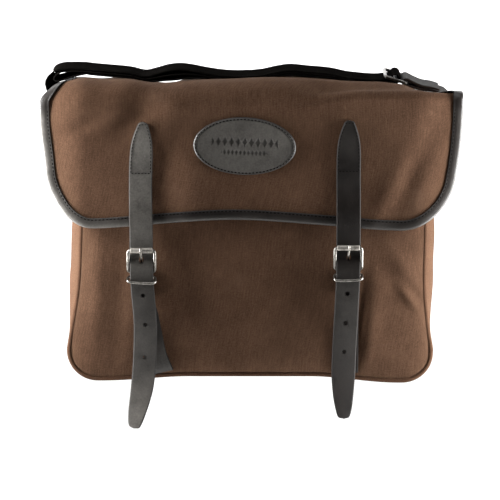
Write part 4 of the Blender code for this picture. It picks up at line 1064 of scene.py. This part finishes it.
def buckle(side):
    """Wire frame, roller on its upper bar, prong from its lower bar over the roller, and the keeper."""
    bar, name = bar_middle(side), SIDE_NAME[side] + "_buckle_"
    strap_y = strap_centre(STRAP, side, BAR_HEIGHT[side] + ROLLER_RISE)[1]
    roller = bar + [0, 0, ROLLER_RISE]
    roller[1] = strap_y - STRAP_THICKNESS / 2 - CLEARANCE - ROLLER_RADIUS
    reach = roller - bar
    length = float(np.linalg.norm(reach))
    loop = rounded_loop(FRAME_HALF, length / 2, 0.0026, 120)
    # The side rails bow out a little
    points = (bar + roller) / 2 + loop[:, :1] * ACROSS + loop[:, 1:] * reach / length
    points[:, 1] -= 0.0012 * np.cos(loop[:, 1] / length * math.pi) * (np.abs(loop[:, 0]) > 0.008)
    dress(wire(name + "frame", points, FRAME_WIRE, closed=True), NICKEL, "nickel", name + "frame")
    x, radius = ROLLER_PROFILE.T[..., None]
    points = roller + joined(x, radius * np.cos(circle(32)), radius * np.sin(circle(32)))
    made = face_out(make_mesh(name + "roller", points, grid_quads(len(x), 32, wrap=True, close=True)))
    made.data.set_sharp_from_angle(angle=math.radians(40))
    dress(made, SATIN_NICKEL, "nickel", name + "roller")
    # The prong's curl round the bar, its way through the strap, and its tip over the roller
    t = np.radians([-150, -100, -50, 0, 45, 80])
    curl = bar + (0.00125 + CLEARANCE + 0.0010) * joined(0, -np.sin(t), -np.cos(t))
    rise, out = PRONG_ROUTE.T
    through = bar + joined(0, BAR_STANDOFF - out, rise)
    t = np.radians([90, 62, 34])
    tip = roller + (ROLLER_RADIUS + CLEARANCE + 0.0010) * joined(0, -np.sin(t), np.cos(t))
    tip[:, 0] += 0.0006 * side
    dress(wire(name + "prong", np.vstack([curl, through, tip]), 0.00105), NICKEL, "nickel", name + "prong")
    keeper(side, bar)


def keeper(side, bar):
    """A wire loop in the anchor strap's fold, round the closing strap: it leans and sags at the front."""
    back = bar - [0, 0, 0.0048]
    reach = back[1] - (strap_centre(STRAP, side, back[2])[1] - STRAP_THICKNESS / 2 - 0.0006 - 0.0010)
    a, b = rounded_loop(KEEPER_HALF, reach / 2, 0.0026, 90).T
    drop = math.tan(KEEPER_LEAN[side]) * a - 0.0006 * (1 - (a / KEEPER_HALF) ** 2) - 0.0034
    points = back + joined(a, b - reach / 2, drop * (0.5 - b / reach))
    name = SIDE_NAME[side] + "_strap_keeper"
    dress(wire(name, points, KEEPER_WIRE, closed=True), NICKEL, "nickel", name)


# Shoulder strap


def bend_round(centre, radius, start, end, steps):
    """Points round a bar that runs from front to back, between two angles in degrees."""
    turn = np.radians(np.linspace(start, end, steps))
    return joined(centre[0] + radius * np.cos(turn), TOP_Y, centre[1] + radius * np.sin(turn))


def shoulder_strap():
    """The webbing's whole length: its rise, three layers, its turn round the slider's middle bar, its end."""
    along = np.linspace(-0.1500, 0.0930, 110)
    tops = read_table(STRAP_TOPS, 1, along) - 0.0006 * ease(0.05, 0.093, along)
    opened = 0.0024 * bell(along, -0.068, 0.018) + 0.0004 * ease(-0.04, -0.09, along)
    pitch = LAYER_PITCH + opened - 0.0003 * ease(0.03, 0.09, along)
    layers = [joined(along, TOP_Y, tops - k * pitch) for k in range(3)]
    right_turn = bend_round((along[-1], layers[0][-1, 2] - pitch[-1] / 2), pitch[-1] / 2, 70, -70, 5)
    over = bend_round((SLIDER[0], SLIDER[1] + 0.0006), 0.0040, -80, 160, 17)
    entry, free = [joined(rows[:, 0], TOP_Y, rows[:, 1]) for rows in (SLIDER_ENTRY, TAIL)]
    run = resample(np.vstack([layers[2][-1], entry, over[:1]]), 0.003)[1:-1]
    end = resample(np.vstack([over[-1], free]), 0.003)[1:]
    rise, left_turn = resample(RISE, 0.003)[:-1], resample(LEFT_TURN, 0.0025)
    path = np.vstack([rise, layers[0], right_turn, layers[1][::-1], left_turn, layers[2], run, over, end])
    hint = np.tile(BACKWARD, (len(path), 1))
    hint[: len(rise), 0] = RISE_SKEW * ease(0.240, 0.258, rise[:, 2]) * ease(0.2770, 0.2640, rise[:, 2])
    section, edge = ribbon_section(WEB_THICKNESS, 0.0006, 0.00005, 16, 3)
    made = sweep("shoulder_strap", path, *frame_along(path, hint), WEB_HALF, section, edge)
    dress(made, WEB, "webbing", "shoulder_strap")


def leather_band(name, path, half):
    """A flat leather band whose width runs from front to back."""
    section, edge = ribbon_section(BAND_THICKNESS, 0.35 * BAND_THICKNESS, 0.0001)
    made = sweep(name, path, *frame_along(path, BACKWARD), half, section, edge)
    dress(made, TAB_LEATHER, "leather", name)


def shoulder_tab():
    """The leather tab from the right gusset, round the slider's right bar and back on itself."""
    lean = np.array([math.cos(SLIDER_LEAN), math.sin(SLIDER_LEAN)])
    bar = SLIDER + SLIDER_HALF[0] * lean
    under = bend_round(bar, SLIDER_ROD + CLEARANCE + BAND_THICKNESS / 2, 275, 60, 15)
    folded = joined(TAB_FOLD[:, 0], TOP_Y, TAB_FOLD[:, 1])
    fold = resample([under[-1], *folded], 0.002)[1:]
    rise = resample([*TAB_ROUTE, under[0]], 0.0022)[:-1]
    leather_band("right_shoulder_tab", np.vstack([rise, under, fold]), 0.0192)
    edge_rows("tab_stitches", resample(TAB_ROUTE[:3], 0.001)[2:34], 0.0170, RIGHT)


def shoulder_patch():
    """The leather patch sewn over the webbing's end on the left gusset."""
    x = RISE[0, 0] - WEB_THICKNESS / 2 - GAP - BAND_THICKNESS / 2
    path = joined(x, 0, np.linspace(0.186, 0.226, 40))
    leather_band("left_shoulder_patch", path, 0.0222)
    edge_rows("patch_stitches", path[2:-2], 0.0200, LEFT)


def edge_rows(name, path, half, side):
    """Stitching round the four sides of a sewn patch."""
    out = np.array([side * (BAND_THICKNESS / 2 + 0.0002), 0.0, 0.0])
    across = np.linspace(-half, half, 24)[:, None] * BACKWARD
    rows = [path + [0, -half, 0], path[-1] + across, path + [0, half, 0], path[0] + across]
    sew(name, [(row + out, out, 0.0032) for row in rows])


def slider():
    """Three-bar metal slide: a rounded loop of rod, with its middle bar let into the side rails."""
    loop = rounded_loop(*SLIDER_HALF, 0.0032, 160)
    x, z = (loop[:, :1] * (math.cos(SLIDER_LEAN), math.sin(SLIDER_LEAN)) + SLIDER).T
    made = wire("slider", joined(x, TOP_Y + loop[:, 1], z), SLIDER_ROD, closed=True)
    ends = [(SLIDER[0], TOP_Y + reach, SLIDER[1]) for reach in (-0.0222, 0.0222)]
    bar = wire("slider_middle_bar", ends, 0.0014, 0.002)
    # The slider takes the darker nickel: painted shade
    dress(made, SHADED_NICKEL, "nickel", "slider")
    dress(bar, SHADED_NICKEL, "nickel")


def seam_stitches(grid):
    """Two rows of stitching that hold the flap to the back panel, near the end of the flap's back leg."""
    rows = [grid[-1 - up_by, 3:-3] + [0, 0.0001, 0] for up_by in (2, 6)]
    sew("back_seam_stitches", [(row, BACKWARD, STITCH_PITCH) for row in rows])


def build_bag():
    panel("front_panel", -1, 16, 120, 120)
    panel("back_panel", 1, 12, 60, 60)
    gusset()
    piping("front_piping", -1)
    piping("back_piping", 1)
    grid = flap_grid(180, (78, 12, 40, 10, 16))
    dress(cloth("flap", grid), CLOTH, "canvas", "flap")
    binding(grid)
    seam_stitches(grid)
    badge()
    for side in (LEFT, RIGHT):
        closing_strap(side)
        anchor_strap(side)
        buckle(side)
    shoulder_strap()
    shoulder_tab()
    shoulder_patch()
    slider()


# Studio


def place(name, data, spot, aim):
    """Puts a light or the camera at a spot, turned towards a point."""
    made = bpy.data.objects.new(name, data)
    made.location = spot
    made.rotation_mode = "QUATERNION"
    made.rotation_quaternion = (Vector(aim) - Vector(spot)).to_track_quat("-Z", "Y")
    bpy.context.scene.collection.objects.link(made)
    return made


def softbox(name, spot, aim, size, power):
    """A rectangular area light turned towards a point."""
    data = bpy.data.lights.new(name, "AREA")
    data.shape, data.size, data.size_y = "RECTANGLE", *size
    data.energy = power
    place(name, data, spot, aim)


def studio():
    """A pale floor that curves up into a backdrop, soft light from both sides, and the camera."""
    turn = np.linspace(0.1, QUARTER, 12)
    y = np.concatenate([np.linspace(-7.0, 5.0, 12), 5.0 + 1.2 * np.sin(turn), [6.2, 6.2]])
    z = np.concatenate([np.zeros(12), 1.2 * (1 - np.cos(turn)), [2.4, 4.5]]) + FLOOR
    points = joined(np.linspace(-7.0, 7.0, 9), y[:, None], z[:, None])
    floor = make_mesh("studio_floor", points, grid_quads(len(y), 9))
    floor.data.materials.append(plain_recipe("studio white", (0.93, 0.93, 0.93), 0.9))
    softbox("left side light", (-0.42, -0.086, 0.165), (-0.13, -0.05, 0.12), (0.09, 0.55), 7.7)
    softbox("right side light", (0.365, -0.080, 0.09), (0.15, -0.05, 0.08), (0.09, 0.46), 4.3)
    softbox("top light", (0.0, -0.25, 1.2), (0.0, 0.0, 0.2), (0.9, 0.5), 3.5)
    softbox("backdrop light", (0.0, 3.8, 4.2), (0.0, 6.5, -0.3), (6.0, 4.0), 620.0)
    world = bpy.data.worlds.new("studio")
    world.use_nodes = True
    background = world.node_tree.nodes["Background"].inputs
    background["Color"].default_value = (1.0, 1.0, 1.0, 1.0)
    background["Strength"].default_value = 0.02
    bpy.context.scene.world = world
    bpy.context.scene.view_settings.view_transform = "Standard"
    data = bpy.data.cameras.new("camera")
    data.lens, data.sensor_width = 300.0, 36.0
    target = Vector((0.0, -0.0425, 0.1180))
    back = Vector((0.0, -math.cos(CAMERA_RISE), math.sin(CAMERA_RISE)))
    spot = target + back * (VIEW_WIDTH / (data.sensor_width / data.lens))
    bpy.context.scene.camera = place("camera", data, spot, target)


studio()
build_bag()
